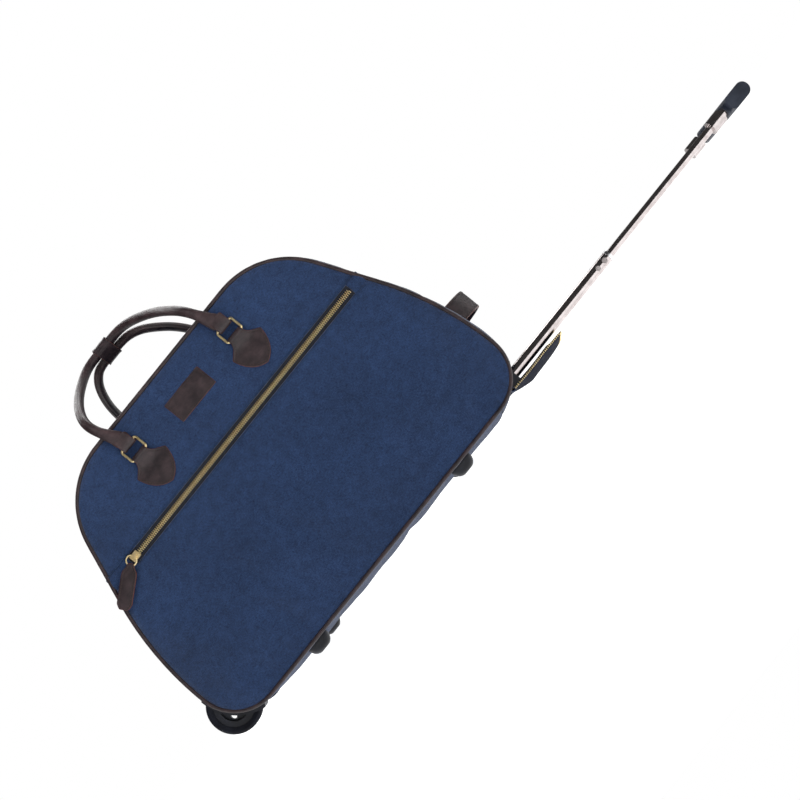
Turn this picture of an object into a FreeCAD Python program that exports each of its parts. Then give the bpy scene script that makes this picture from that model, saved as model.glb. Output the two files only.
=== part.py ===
"""Wheeled canvas holdall with leather trim and a telescopic trolley handle, in millimetres.

+X runs along the bag to the trolley handle, -Y is the front with the pocket zip and +Z is up.
The bag stands on four feet. Heights are counted from the underside of its base, and lengths
from the middle of the bag. The origin lies on the floor, in the middle of the whole object.
"""

import FreeCAD, Part
import math
import os
import re

from FreeCAD import Placement, Rotation, Vector

DRIVING = {
    # outline of the bag, seen from the front
    "half_base": 205,
    "bottom_corner": 55,
    "side_curve": 387,
    "side_lean": 22,
    "top_corner": 100,
    "bag_height": 330,
    "bag_depth": 250,
    "canvas": 4,
    "piping_radius": 2,
    "seam_height": 150,
    # the object on its floor
    "foot_height": 14.5,
    "origin_x": 204.75,
    # zips
    "zip_height": 217,
    "slot_half": 8,
    "teeth_width": 2.8,
    "teeth_gap": 0.4,
    "teeth_depth": 2.6,
    "front_zip_start": -186,
    "front_zip_end": 203,
    "slider_clear": 0.3,
    "slider_plate": 1.2,
    "main_slot_half": 12,
    "front_slider_x": -180,
    "main_meeting_x": -55,
    # pocket and lining
    "pocket_gap": 5,
    "lining_sheet": 1,
    # base
    "frame_sheet": 2,
    "board_sheet": 3,
    "board_height": 24,
    "foot_x": 132,
    "foot_y": 82,
    "foot_radius": 15.5,
    "screw_radius": 2,
    # trolley
    "tube_height": 15,
    "tube_y": 50,
    "fixed_outer": 8.6,
    "fixed_inner": 7.4,
    "mid_outer": 7,
    "mid_inner": 6,
    "inner_outer": 5,
    "inner_bore": 4,
    "fixed_start": -208,
    "fixed_end": 252,
    "mid_start": 166,
    "mid_end": 432,
    "inner_start": 396,
    "inner_end": 670,
    "collar_length": 4,
    "bezel_start": 236,
    "bezel_end": 254,
    "grip_start": 657,
    "grip_end": 690,
    "grip_height": 19,
    "grip_length": 132,
    "button_length": 30,
    "button_width": 10,
    "button_fit": 0.3,
    # wheels
    "wheel_x": -248,
    "wheel_height": 25.6,
    "wheel_y": 95,
    "wheel_radius": 32.5,
    "tyre_bore": 24,
    "tyre_width": 18,
    "axle_radius": 3,
    "axle_fit": 0.06,
    "axle_head": 2.4,
    "well_radius": 34,
    "well_clear": 0.3,
    "housing_wall": 2.5,
    "well_half": 11,
    # carrying handles
    "chape_middle": -2,
    "chape_spacing": 85,
    "chape_sheet": 4,
    "chape_half": 24.8,
    "chape_low": 237.4,
    "chape_shoulder": 268.5,
    "ring_wire": 1.5,
    "ring_y": 130,
    "ring_low": 284,
    "ring_high": 301,
    "ring_half": 12,
    "loop_half": 9.2,
    "hinge_fit": 0.08,
    "handle_radius": 5.75,
    "handle_loop": 4.4,
    "wrap_start": -41,
    "wrap_length": 22,
    "wrap_sheet": 1.6,
    # label, strap, hood and flap
    "label_length": 58,
    "label_width": 28,
    "label_height": 283,
    "strap_width": 30,
    "strap_height": 114,
    "strap_reach": 300,
    "strap_sheet": 4,
    "hood_half": 66,
    "flap_hinge_x": 228,
    "flap_end": 325,
    "flap_half": 60,
    "flap_sheet": 3.5,
}

doc = FreeCAD.newDocument("Holdall")
sheet = doc.addObject("Spreadsheet::Sheet", "Sizes")
for row, (alias, amount) in enumerate(DRIVING.items(), 1):
    sheet.set(f"A{row}", alias)
    sheet.set(f"B{row}", str(amount))
    sheet.setAlias(f"B{row}", alias)
doc.recompute()

WORD = re.compile(r"[a-z_]{3,}")
ALONG = {
    "x": Rotation(Vector(0, 1, 0), 90),
    "y": Rotation(Vector(1, 0, 0), -90),
    "z": Rotation(),
}
SIDES = {"front": -1, "back": 1}
nodes = []


def size(alias):
    """A driving dimension, read back from the sheet."""
    return float(sheet.get(alias))


def formula(text):
    """An expression in which each alias points at the sheet."""
    return WORD.sub(lambda m: "Sizes." + m[0] if m[0] in DRIVING else m[0], str(text))


def bind(item, **properties):
    """Binds properties of a document object to expressions of the sheet's aliases."""
    for name, text in properties.items():
        item.setExpression(name, formula(text))
    return item


def place(item, x, y, z, rotation=None):
    """Puts an object's own origin at a point of the bag."""
    if rotation:
        item.Placement = Placement(Vector(), rotation)
    item.setExpression("Placement.Base.x", formula(f"{x} - origin_x"))
    item.setExpression("Placement.Base.y", formula(y))
    item.setExpression("Placement.Base.z", formula(f"{z} + foot_height"))
    return item


def point(x, y, z):
    """The same change of origin for a shape made with Part's functions."""
    return Vector(x - size("origin_x"), y, z + size("foot_height"))


def block(x, y, z, length, width, height):
    """A box from its lowest corner."""
    item = doc.addObject("Part::Box", "block")
    bind(item, Length=length, Width=width, Height=height)
    return place(item, x, y, z)


def rod(along, radius, length, x, y, z):
    """A cylinder from the centre of its first end."""
    item = doc.addObject("Part::Cylinder", "rod")
    bind(item, Radius=radius, Height=length)
    return place(item, x, y, z, ALONG[along])


def fuse(*pieces):
    """Several objects as one; pieces that don't touch stay separate solids."""
    item = doc.addObject("Part::MultiFuse", "fuse")
    item.Shapes = list(pieces)
    return item


def cut(base, *tools):
    """An object less one or more others."""
    item = doc.addObject("Part::Cut", "cut")
    item.Base = base
    item.Tool = tools[0] if len(tools) == 1 else fuse(*tools)
    return item


def common(first, second):
    """What two objects share."""
    item = doc.addObject("Part::Common", "common")
    item.Base = first
    item.Tool = second
    return item


def solid(shape):
    """A document object around a shape made with Part's own functions."""
    item = doc.addObject("Part::Feature", "shape")
    item.Shape = shape
    return item


def node(label, item):
    """Names a finished sub-part and keeps it for export."""
    item.Label = label
    nodes.append(item)
    return item


def origin_feature(body, role):
    """One of a body's own origin planes or axes."""
    return next(f for f in body.Origin.OriginFeatures if f.Role == role)


def sketch(body, plane, geometry, offset=0):
    """A sketch on one of a body's origin planes."""
    drawing = body.newObject("Sketcher::SketchObject", "sketch")
    drawing.AttachmentSupport = [(origin_feature(body, plane), "")]
    drawing.MapMode = "FlatFace"
    drawing.AttachmentOffset = Placement(Vector(0, 0, offset), Rotation())
    drawing.addGeometry(geometry, False)
    return drawing


def padded(plane, geometry, thickness, x, y, z, offset=0, rotation=None):
    """A body padded from a sketch. On XZ_Plane the pad grows towards -Y."""
    body = doc.addObject("PartDesign::Body", "body")
    pad = body.newObject("PartDesign::Pad", "pad")
    pad.Profile = sketch(body, plane, geometry, offset)
    pad.setExpression("Length", formula(thickness))
    body.Tip = pad
    return place(body, x, y, z, rotation)


def turned(plane, axis, geometry, x, y, z):
    """A body revolved from a sketch about one of its own axes."""
    body = doc.addObject("PartDesign::Body", "body")
    turn = body.newObject("PartDesign::Revolution", "turn")
    turn.Profile = sketch(body, plane, geometry)
    turn.ReferenceAxis = (origin_feature(body, axis), [""])
    turn.Angle = 360
    body.Tip = turn
    return place(body, x, y, z)


def polyline(*corners):
    """A closed run of straight sketch lines."""
    ring = [Vector(x, y, 0) for x, y in corners]
    return [Part.LineSegment(a, b) for a, b in zip(ring, ring[1:] + ring[:1])]


def arc(centre, radius, start, end):
    """An arc in the sketch plane, its angles in degrees."""
    circle = Part.Circle(Vector(*centre, 0), Vector(0, 0, 1), radius)
    return Part.ArcOfCircle(circle, math.radians(start), math.radians(end))


def bag_outline(inset):
    """The outline seen from the front, in a sketch's X and Y, set in by a distance."""
    lean = size("side_lean")
    bottom, curve, top = size("bottom_corner"), size("side_curve"), size("top_corner")
    low = (size("half_base"), bottom)
    middle = (size("half_base") + bottom - curve, bottom)
    slope = math.radians(lean)
    up = Vector(-math.sin(slope), math.cos(slope), 0)
    out = Vector(math.cos(slope), math.sin(slope), 0)
    bend = Vector(*middle, 0) + out * curve
    high_y = size("bag_height") - top
    run = (high_y + top * math.sin(slope) - bend.y) / math.cos(slope)
    shoulder = bend + up * run
    high = (shoulder.x - top * math.cos(slope), high_y)
    halves = []
    for side in (1, -1):
        def turn(centre, radius, first, last):
            x, y = centre
            start, end = (first, last) if side > 0 else (180 - last, 180 - first)
            return arc((side * x, y), radius - inset, start, end)

        a, b = bend - out * inset, shoulder - out * inset
        halves += [
            turn(low, bottom, -90, 0),
            turn(middle, curve, 0, lean),
            Part.LineSegment(Vector(side * a.x, a.y, 0), Vector(side * b.x, b.y, 0)),
            turn(high, top, lean, 90),
        ]
    base = [Vector(side * low[0], inset, 0) for side in (-1, 1)]
    crest = [Vector(side * high[0], size("bag_height") - inset, 0) for side in (-1, 1)]
    return halves + [Part.LineSegment(*base), Part.LineSegment(*crest)]


def slab(inset, depth, y):
    """The whole outline, set in, padded from y towards -Y."""
    return padded("XZ_Plane", bag_outline(inset), depth, 0, y, 0)


def shell(outer, inner):
    """A band round the bag between two insets, as deep as the gusset."""
    depth = "bag_depth - 4 * piping_radius"
    half = "bag_depth / 2 - 2 * piping_radius"
    return cut(slab(outer, depth, half), slab(inner, depth, half))


def region(x, y, z, far_x, far_y, far_z):
    """A box given by its two corners."""
    return block(x, y, z, f"{far_x} - ({x})", f"{far_y} - ({y})", f"{far_z} - ({z})")


def rounded_path(points, share=0.45):
    """Straight runs joined by tangent arcs, each as large as its two runs allow."""
    edges = []
    start = points[0]
    for before, corner, after in zip(points, points[1:], points[2:]):
        into, out = corner - before, after - corner
        reach = share * min(into.Length, out.Length)
        half_turn = into.getAngle(out) / 2
        into.normalize()
        out.normalize()
        radius = reach / math.tan(half_turn)
        inward = (out - into).normalize()
        centre = corner + inward * (radius / math.cos(half_turn))
        first, last = corner - into * reach, corner + out * reach
        edges.append(Part.LineSegment(start, first).toShape())
        edges.append(Part.Arc(first, centre - inward * radius, last).toShape())
        start = last
    edges.append(Part.LineSegment(start, points[-1]).toShape())
    return Part.Wire(edges)


def piped(path, radius):
    """A round bar along a wire."""
    first = path.OrderedEdges[0]
    start = first.valueAt(first.FirstParameter)
    ahead = first.tangentAt(first.FirstParameter)
    ring = Part.Wire(Part.makeCircle(radius, start, ahead))
    bar = path.makePipeShell([ring], True, False)
    return bar if bar.ShapeType == "Solid" else Part.Solid(bar)


# ---------------------------------------------------------------- canvas shell

HALF = "bag_depth / 2"
WIDE = "half_base + bottom_corner + 10"
INNER_HALF = "bag_depth / 2 - 2 * piping_radius"


def make_panels():
    """The two flat faces. The front one is split by the pocket zip."""
    edge = 2 * size("piping_radius")
    front = slab(edge, "canvas", f"canvas - {HALF}")
    above = region(f"-({WIDE})", f"-{HALF} - 5", "zip_height + slot_half", WIDE, "0", "bag_height")
    below = region(f"-({WIDE})", f"-{HALF} - 5", "-5", WIDE, "0", "zip_height - slot_half")
    node("front_upper_panel", common(front, above))
    node("front_lower_panel", common(front, below))
    node("back_panel", slab(edge, "canvas", HALF))
    inset = size("canvas") + 2.5
    wall_y = f"canvas + pocket_gap + lining_sheet - {HALF}"
    wall = slab(inset, "lining_sheet", wall_y)
    floor = region(f"-({WIDE})", f"-{HALF}", "board_height + board_sheet + 1", WIDE, "0", "bag_height")
    node("pocket_wall", common(wall, floor))


def make_gussets():
    """The band between the panels: two halves on top, one piece at each end and a base."""
    band = shell(0, size("canvas"))
    tall = "bag_height + 5"
    front_top = region(f"-({WIDE})", f"-{HALF}", "seam_height", WIDE, "-main_slot_half", tall)
    back_top = region(f"-({WIDE})", "main_slot_half", "seam_height", WIDE, HALF, tall)
    wheel_end = region(f"-({WIDE})", f"-{HALF}", "-5", "-half_base", HALF, "seam_height")
    handle_end = region("half_base", f"-{HALF}", "-5", WIDE, HALF, "seam_height")
    base = region("-half_base", f"-{HALF}", "-5", "half_base", HALF, "canvas + 1")
    node("top_gusset_front", common(band, front_top))
    node("top_gusset_back", common(band, back_top))
    node("wheel_end_gusset", cut(common(band, wheel_end), *wheel_wells("well_clear", "axle_head")))
    tube_holes = bores("fixed_outer + 0.3", "half_base", "bezel_end")
    node("handle_end_gusset", cut(common(band, handle_end), bezel_block(), *tube_holes))
    node("base_panel", cut(common(band, base), *screw_holes()))


def make_lining():
    """A thin sheet inside the gusset, open beside the main zip."""
    outer = size("canvas") + 0.2
    band = shell(outer, outer + size("lining_sheet"))
    above = "board_height + board_sheet + 0.4"
    wide = region(f"-({WIDE})", f"2 * canvas + pocket_gap - {HALF}", above, WIDE, INNER_HALF, "bag_height")
    zip_gap = region(f"-({WIDE})", "-main_slot_half", "seam_height - 6", WIDE, "main_slot_half", "bag_height")
    node("lining", cut(common(band, wide), zip_gap, *wheel_wells("well_clear", "axle_head")))


def make_piping():
    """A round leather cord sewn into each edge of the band."""
    inset = size("piping_radius")
    for name, side in SIDES.items():
        y = side * (size("bag_depth") / 2 - inset)
        edges = [g.toShape() for g in bag_outline(inset)]
        path = Part.Wire(Part.__sortEdges__(edges))
        path.Placement = Placement(point(0, y, 0), Rotation(Vector(1, 0, 0), 90))
        node(f"{name}_piping", solid(piped(path, inset)))


def wheel_wells(clear=0, side_room=0):
    """Round recesses for the wheel housings. The side room lets the axle heads pass."""
    wells = []
    for side in SIDES.values():
        half = f"well_half + housing_wall + {side_room}"
        start = f"{side} * wheel_y - ({half})"
        radius = f"well_radius + housing_wall + {clear}"
        wells.append(rod("y", radius, f"2 * ({half})", "wheel_x", start, "wheel_height"))
    return wells


def bezel_block():
    """The outside of the bezel, where the trolley tubes leave the bag."""
    return region("bezel_start", "-tube_y - 14", "5", "bezel_end", "tube_y + 14", "tube_height + 12")


# ---------------------------------------------------------------- zips

PULL_RING = 6
PULL_WIRE = 0.8
TAB_HANG = 30


def teeth_row(start, end, side):
    """One row of front teeth, above or below the middle of the zip."""
    low = "zip_height + teeth_gap" if side > 0 else "zip_height - teeth_gap - teeth_width"
    return block(start, f"-{HALF}", low, f"{end} - ({start})", "teeth_depth", "teeth_width")


def make_front_zip():
    """Tapes, teeth and slider of the pocket zip, with its ring and leather tab."""
    edge = 2 * size("piping_radius")
    strip = slab(edge, 1, f"2 - {HALF}")
    inner = "(teeth_gap + teeth_width)"
    upper = region(f"-({WIDE})", f"-{HALF}", f"zip_height + {inner}", WIDE, 0, "zip_height + slot_half")
    lower = region(f"-({WIDE})", f"-{HALF}", "zip_height - slot_half", WIDE, 0, f"zip_height - {inner}")
    node("front_zip_tapes", common(strip, fuse(upper, lower)))
    rows = [teeth_row("front_zip_start", "front_zip_end", side) for side in (1, -1)]
    node("front_zip_teeth", fuse(*rows))

    outside = f"(-{HALF} - slider_clear - slider_plate)"
    inside = f"(-{HALF} + teeth_depth + slider_clear)"
    left = "front_slider_x - 5.5"
    top = block(left, outside, "zip_height - 4.25", 11, "slider_plate", 8.5)
    bottom = block(left, inside, "zip_height - 4.25", 11, "slider_plate", 8.5)
    through = f"{inside} - {outside} + slider_plate"
    web = block("front_slider_x - 3", outside, "zip_height - 0.2", 6, through, 0.4)
    bridge = block("front_slider_x - 2.2", f"{outside} - 3.6", "zip_height - 1.5", 4.4, 3.6, 3)
    eye = rod("z", 1.25, 5, "front_slider_x", f"{outside} - 1.8", "zip_height - 2.5")
    node("front_slider", cut(fuse(top, bottom, web, bridge), eye))

    ring = doc.addObject("Part::Torus", "ring")
    bind(ring, Radius1=PULL_RING, Radius2=PULL_WIRE)
    place(ring, f"front_slider_x - {PULL_RING}", f"{outside} - 1.8", "zip_height", ALONG["y"])
    node("front_pull_ring", ring)
    node("front_pull_tab", pull_tab(outside))


def pull_tab(outside):
    """A leather tab whose end is folded round the pull ring, hanging aslant."""
    outline = polyline((-3.2, -5), (-3.2, 5), (-10, 5), (-13, 8.5), (-53, 8.5), (-56, 6),
                       (-56, -6), (-53, -8.5), (-13, -8.5), (-10, -5))
    tilt = Rotation(Vector(0, 1, 0), -TAB_HANG)
    tab = padded("XZ_Plane", outline, 3.2, f"front_slider_x - {PULL_RING}", f"{outside} - 1.8",
                 "zip_height", offset=-1.6, rotation=tilt)
    doc.recompute()
    groove = tab.newObject("PartDesign::Groove", "groove")
    wire = Part.Circle(Vector(-PULL_RING, 0, 0), Vector(0, 0, 1), PULL_WIRE + 0.35)
    groove.Profile = sketch(tab, "XY_Plane", [wire])
    groove.ReferenceAxis = (origin_feature(tab, "Y_Axis"), [""])
    groove.Angle = 360
    tab.Tip = groove
    return tab


def make_main_zip():
    """The zip round the top of the bag. Its two sliders meet on the flat stretch."""
    above = "seam_height"
    tall = "bag_height + 5"
    inner = "(teeth_gap + teeth_width)"
    tape = shell(1.8, 2.8)
    strips = [
        region(f"-({WIDE})", "-main_slot_half", above, WIDE, f"-{inner}", tall),
        region(f"-({WIDE})", inner, above, WIDE, "main_slot_half", tall),
    ]
    node("main_zip_tapes", common(tape, fuse(*strips)))
    chain = shell(1, 1 + size("teeth_depth"))
    rows = [
        region(f"-({WIDE})", f"-{inner}", above, WIDE, "-teeth_gap", tall),
        region(f"-({WIDE})", "teeth_gap", above, WIDE, inner, tall),
    ]
    node("main_zip_teeth", common(chain, fuse(*rows)))
    for name, side in (("left", -1), ("right", 1)):
        x = f"(main_meeting_x + {side} * 7)"
        low = "(bag_height - 1 - teeth_depth - slider_clear - slider_plate)"
        high = "(bag_height - 1 + slider_clear)"
        top = block(f"{x} - 5.5", -4.25, high, 11, 8.5, "slider_plate")
        bottom = block(f"{x} - 5.5", -4.25, low, 11, 8.5, "slider_plate")
        web = block(f"{x} - 3", -0.2, low, 6, 0.4, f"{high} - {low} + slider_plate")
        bridge = block(f"{x} - 2.2", -1.5, f"{high} + slider_plate", 4.4, 3, 3.6)
        axis_z = f"({high} + slider_plate + 1.8)"
        eye = rod("y", 1.1, 5, x, -2.5, axis_z)
        node(f"main_slider_{name}", cut(fuse(top, bottom, web, bridge), eye))
        bar = rod("y", 0.8, 9, x, -4.5, axis_z)
        reach = {-1: f"{x} - 9", 1: x}[side]
        arms = [block(reach, y, f"{axis_z} - 0.8", 9, 1.5, 1.6) for y in (-4.5, 3)]
        tab = block({-1: f"{x} - 34", 1: f"{x} + 9"}[side], -5, f"{axis_z} - 1", 25, 10, 2)
        node(f"main_pull_{name}", fuse(bar, *arms, tab))


# ---------------------------------------------------------------- base and feet


def foot_places():
    """The four feet, as expressions."""
    return [(f"{a} * foot_x - 1", f"{b} * foot_y") for a in (-1, 1) for b in (-1, 1)]


def screw_holes():
    """Holes for the foot screws, right through the base and into the feet."""
    return [rod("z", "screw_radius", 22, x, y, -10) for x, y in foot_places()]


def make_base():
    """A moulded frame under a false floor, with feet screwed up through the base."""
    long, deep = "half_base - 3", f"{HALF} - 12"
    plate = region(f"-({long})", f"-({deep})", "canvas", long, deep, "canvas + frame_sheet")
    node("base_frame", cut(plate, *screw_holes()))
    board_x, board_y = "half_base + 3", f"{HALF} - 8"
    front = f"-{HALF} + 2 * canvas + pocket_gap"
    node("false_floor", region(f"-({board_x})", front, "board_height", board_x, board_y,
                               "board_height + board_sheet"))
    feet = [foot(x, y) for x, y in foot_places()]
    node("feet", cut(fuse(*feet), *screw_holes()))
    top = "canvas + frame_sheet"
    screws = []
    for x, y in foot_places():
        screws.append(rod("z", "screw_radius", f"10 + {top}", x, y, -10))
        screws.append(rod("z", 4, 2.4, x, y, top))
    node("foot_screws", fuse(*screws))


def foot(x, y):
    """A plastic dome, wide side up."""
    radius, tall, tread = size("foot_radius"), size("foot_height"), 7
    side = Part.Arc(Vector(radius, -3, 0), Vector(radius - 2.4, -tall + 4.2, 0), Vector(tread, -tall, 0))
    profile = [
        Part.LineSegment(Vector(0, 0, 0), Vector(radius, 0, 0)),
        Part.LineSegment(Vector(radius, 0, 0), Vector(radius, -3, 0)),
        side,
        Part.LineSegment(Vector(tread, -tall, 0), Vector(0, -tall, 0)),
        Part.LineSegment(Vector(0, -tall, 0), Vector(0, 0, 0)),
    ]
    return turned("XZ_Plane", "Z_Axis", profile, x, y, 0)


# ---------------------------------------------------------------- trolley


def tube_lines():
    """The two trolley tubes: name and height of their axis across the bag."""
    return [(name, f"{side} * tube_y") for name, side in SIDES.items()]


def bores(radius, start, end):
    """Round holes on both tube axes."""
    return [rod("x", radius, f"{end} - ({start})", start, y, "tube_height") for _, y in tube_lines()]


def make_trolley():
    """Fixed tubes in the base, middle tubes that slide in them, and inner tubes with a grip."""
    stages = {
        "fixed": ("fixed_start", "fixed_end", "fixed_outer", "fixed_inner"),
        "mid": ("mid_start", "mid_end", "mid_outer", "mid_inner"),
        "inner": ("inner_start", "inner_end", "inner_outer", "inner_bore"),
    }
    for index, (name, y) in enumerate(tube_lines()):
        for stage, (start, end, outer, inner) in stages.items():
            skin = bores(outer, start, end)[index]
            bore = bores(inner, f"{start} - 1", f"{end} + 1")[index]
            pins = pin_seats(index) if stage == "mid" else []
            node(f"{name}_{stage}_tube", cut(skin, bore, *pins))
    collar_end = "mid_end + collar_length"
    node("mid_collars", cut(fuse(*bores("mid_outer + 0.5", "mid_end", collar_end)),
                            *bores("inner_outer + 0.3", "mid_end - 1", f"{collar_end} + 1")))
    pins = [pin for index in (0, 1) for pin in pin_seats(index)]
    node("collar_pins", fuse(*pins))
    saddle = region("fixed_start - 4", "-tube_y - 14", "canvas + frame_sheet", "fixed_start + 18",
                    "tube_y + 14", "board_height - 0.2")
    node("tube_saddle", cut(saddle, *bores("fixed_outer", "fixed_start", "fixed_start + 30")))
    node("exit_bezel", cut(bezel_block(), *bores("fixed_outer", "bezel_start - 1", "fixed_end"),
                           *bores("mid_outer + 0.3", "fixed_end", "bezel_end + 1")))
    start, end = "grip_start - 29", "grip_start - 9"
    sleeves = bores(9, start, end)
    web = region(start, "-tube_y", "tube_height - 1.5", end, "tube_y", "tube_height + 1.5")
    node("grip_bracket", cut(fuse(web, *sleeves), *bores("inner_outer", start, end)))


def pin_seats(index):
    """The lock pin and the rivet on one middle tube, seated in its outer side."""
    name, y = tube_lines()[index]
    side = SIDES[name]
    start = f"{y} - mid_outer - 0.8" if side < 0 else f"{y} + mid_inner"
    end = "mid_end + collar_length"
    heads = ((10.5, 3.4), (22.8, 3.1))
    return [rod("y", radius, 1.8, f"{end} - {back}", start, "tube_height") for back, radius in heads]


def make_grip():
    """A rubber grip across both tubes, with a sprung button in its outer face."""
    long, high = size("grip_end") - size("grip_start"), size("grip_height") / 2
    nose, heel = 9, 5
    profile = [
        arc((long - nose, high - nose), nose, 0, 90),
        Part.LineSegment(Vector(long, high - nose, 0), Vector(long, nose - high, 0)),
        arc((long - nose, nose - high), nose, 270, 360),
        Part.LineSegment(Vector(long - nose, -high, 0), Vector(heel, -high, 0)),
        arc((heel, heel - high), heel, 180, 270),
        Part.LineSegment(Vector(0, heel - high, 0), Vector(0, high - heel, 0)),
        arc((heel, high - heel), heel, 90, 180),
        Part.LineSegment(Vector(heel, high, 0), Vector(long - nose, high, 0)),
    ]
    bar = padded("XZ_Plane", profile, "grip_length", "grip_start", "grip_length / 2", "tube_height")
    flanges = bores(7.5, "grip_start - 4", "grip_start")
    well_y, well_z = "-button_length / 2 - button_fit", "tube_height - button_width / 2 - button_fit"
    well_long, well_high = "button_length + 2 * button_fit", "button_width + 2 * button_fit"
    well = block("grip_end - 18", well_y, well_z, 20, well_long, well_high)
    seats = bores("inner_outer", "grip_start - 5", "inner_end")
    node("grip", cut(fuse(bar, *flanges), well, *seats))
    node("release_button", block("grip_end - 9.5", "-button_length / 2", "tube_height - button_width / 2",
                                 9.5, "button_length", "button_width"))
    coil = Part.makeHelix(2, 7.8, 2.6)
    coil.Placement = Placement(point(size("grip_end") - 17.6, 0, size("tube_height")), ALONG["x"])
    node("button_spring", solid(piped(Part.Wire(coil.Edges), 0.3)))


# ---------------------------------------------------------------- wheels


def make_wheels():
    """A wheel in a moulded housing at each side of the low end."""
    inner = wheel_hollows()
    reach = slab(-6, "bag_depth", HALF)
    bodies = common(fuse(*wheel_wells()), reach)
    axle = "well_half + housing_wall"
    holes = []
    axles = []
    for name, side in SIDES.items():
        y = f"{side} * wheel_y"
        wide = f"2 * ({axle})"
        start = f"{y} - ({axle})"
        holes.append(rod("y", "axle_radius", f"{wide} + 2", "wheel_x", f"{start} - 1", "wheel_height"))
        axles.append(rod("y", "axle_radius", wide, "wheel_x", start, "wheel_height"))
        for head in (f"{start} - 2", f"{y} + {axle}"):
            axles.append(rod("y", 5, 2, "wheel_x", head, "wheel_height"))
        node(f"{name}_tyre", tyre(y))
        node(f"{name}_rim", rim(y))
    node("wheel_housings", cut(bodies, *inner, *holes))
    node("wheel_axles", fuse(*axles))


def wheel_hollows():
    """The space each wheel turns in."""
    return [
        rod("y", "well_radius", "2 * well_half", "wheel_x", f"{side} * wheel_y - well_half", "wheel_height")
        for side in SIDES.values()
    ]


def tyre(y):
    """A rubber ring with rounded shoulders."""
    outer, inner, half, soft = size("wheel_radius"), size("tyre_bore"), size("tyre_width") / 2, 4
    profile = [
        Part.LineSegment(Vector(inner, -half + 1, 0), Vector(inner, half - 1, 0)),
        Part.LineSegment(Vector(inner, half - 1, 0), Vector(outer - soft, half, 0)),
        arc((outer - soft, half - soft), soft, 0, 90),
        Part.LineSegment(Vector(outer, half - soft, 0), Vector(outer, soft - half, 0)),
        arc((outer - soft, soft - half), soft, 270, 360),
        Part.LineSegment(Vector(outer - soft, -half, 0), Vector(inner, -half + 1, 0)),
    ]
    return turned("XY_Plane", "Y_Axis", profile, "wheel_x", y, "wheel_height")


def rim(y):
    """A moulded hub, web and ring, with five round openings in the web."""
    bore = size("axle_radius") + size("axle_fit")
    outer, half = size("tyre_bore"), size("tyre_width") / 2
    profile = polyline((bore, -10.4), (7, -10.4), (7, -3), (17, -3), (17, -half + 2), (outer, -half + 2),
                       (outer, half - 2), (17, half - 2), (17, 3), (7, 3), (7, 10.4), (bore, 10.4))
    body = turned("XY_Plane", "Y_Axis", profile, "wheel_x", y, "wheel_height")
    doc.recompute()
    pocket = body.newObject("PartDesign::Pocket", "opening")
    opening = Part.Circle(Vector(12, 0, 0), Vector(0, 0, 1), 3.6)
    pocket.Profile = sketch(body, "XZ_Plane", [opening], offset=-10)
    pocket.Length = 20
    pocket.Reversed = True
    body.Tip = pocket
    doc.recompute()
    ring = body.newObject("PartDesign::PolarPattern", "ring")
    ring.Originals = [pocket]
    ring.Axis = (origin_feature(body, "Y_Axis"), [""])
    ring.Angle = 360
    ring.Occurrences = 5
    body.Tip = ring
    return body


# ---------------------------------------------------------------- carrying handles


def chape_middles():
    """The chapes' places along the bag."""
    return {"left": "(chape_middle - chape_spacing)", "right": "(chape_middle + chape_spacing)"}


def chape(side, x):
    """A shield of leather whose top is folded round the ring's lower bar."""
    wide, low, shoulder = size("chape_half"), size("chape_low"), size("chape_shoulder")
    tab, neck = 10, shoulder + 12
    flank, waist = 0.66 * wide, low + 10.6
    sides = [
        Part.Arc(Vector(s * wide, shoulder, 0), Vector(s * flank, waist, 0), Vector(0, low, 0))
        for s in (1, -1)
    ]
    top = [(-wide, shoulder), (-tab, neck), (tab, neck), (wide, shoulder)]
    lines = [Part.LineSegment(Vector(*a, 0), Vector(*b, 0)) for a, b in zip(top, top[1:])]
    y = f"chape_sheet - {HALF} - chape_sheet" if side < 0 else f"{HALF} + chape_sheet"
    plate = padded("XZ_Plane", lines + sides, "chape_sheet", x, y, 0)
    fold = rod("x", 3.6, "2 * loop_half", f"{x} - loop_half", f"{side} * ring_y", "ring_low")
    lip_y = f"-{HALF} - 4" if side < 0 else HALF
    lip = block(f"{x} - loop_half", lip_y, "ring_low - 6", "2 * loop_half", 4, 6)
    bore, long = "ring_wire + hinge_fit", "2 * loop_half + 2"
    hole = rod("x", bore, long, f"{x} - loop_half - 1", f"{side} * ring_y", "ring_low")
    return cut(fuse(plate, fold, lip), hole)


def ring_shape(side, x):
    """A brass rectangle of round wire with small corner bends."""
    half, low, high = size("ring_half"), size("ring_low"), size("ring_high")
    y, bend = side * size("ring_y"), 2.5
    middle = (low + high) / 2
    corners = [(half, middle), (half, high), (-half, high), (-half, low), (half, low), (half, middle)]
    points = [point(x + dx, y, z) for dx, z in corners]
    edges = []
    start = points[0]
    for before, corner, after in zip(points, points[1:], points[2:]):
        into, out = (corner - before).normalize(), (after - corner).normalize()
        first, last = corner - into * bend, corner + out * bend
        mid = corner + (out - into) * bend * (1 - math.sqrt(0.5))
        edges.append(Part.LineSegment(start, first).toShape())
        edges.append(Part.Arc(first, mid, last).toShape())
        start = last
    edges.append(Part.LineSegment(start, points[-1]).toShape())
    return piped(Part.Wire(edges), size("ring_wire"))


HANDLE_ROUTE = [
    (79, 132, 314), (71, 132, 338), (62, 112, 359), (44, 62, 391), (20, 27, 415), (3, 12, 425.5),
    (-12, 6, 428.5), (-50, 6, 428.5), (-62, 11, 426.5), (-77, 26, 418), (-92, 56, 400), (-100, 92, 377),
    (-103, 122, 355), (-99, 132, 336), (-89, 132, 314),
]
HANDLE_TOP = 428.5
FREE_HEIGHT = 330
BACK_DROP = 9
BACK_SHIFT = 3


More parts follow.
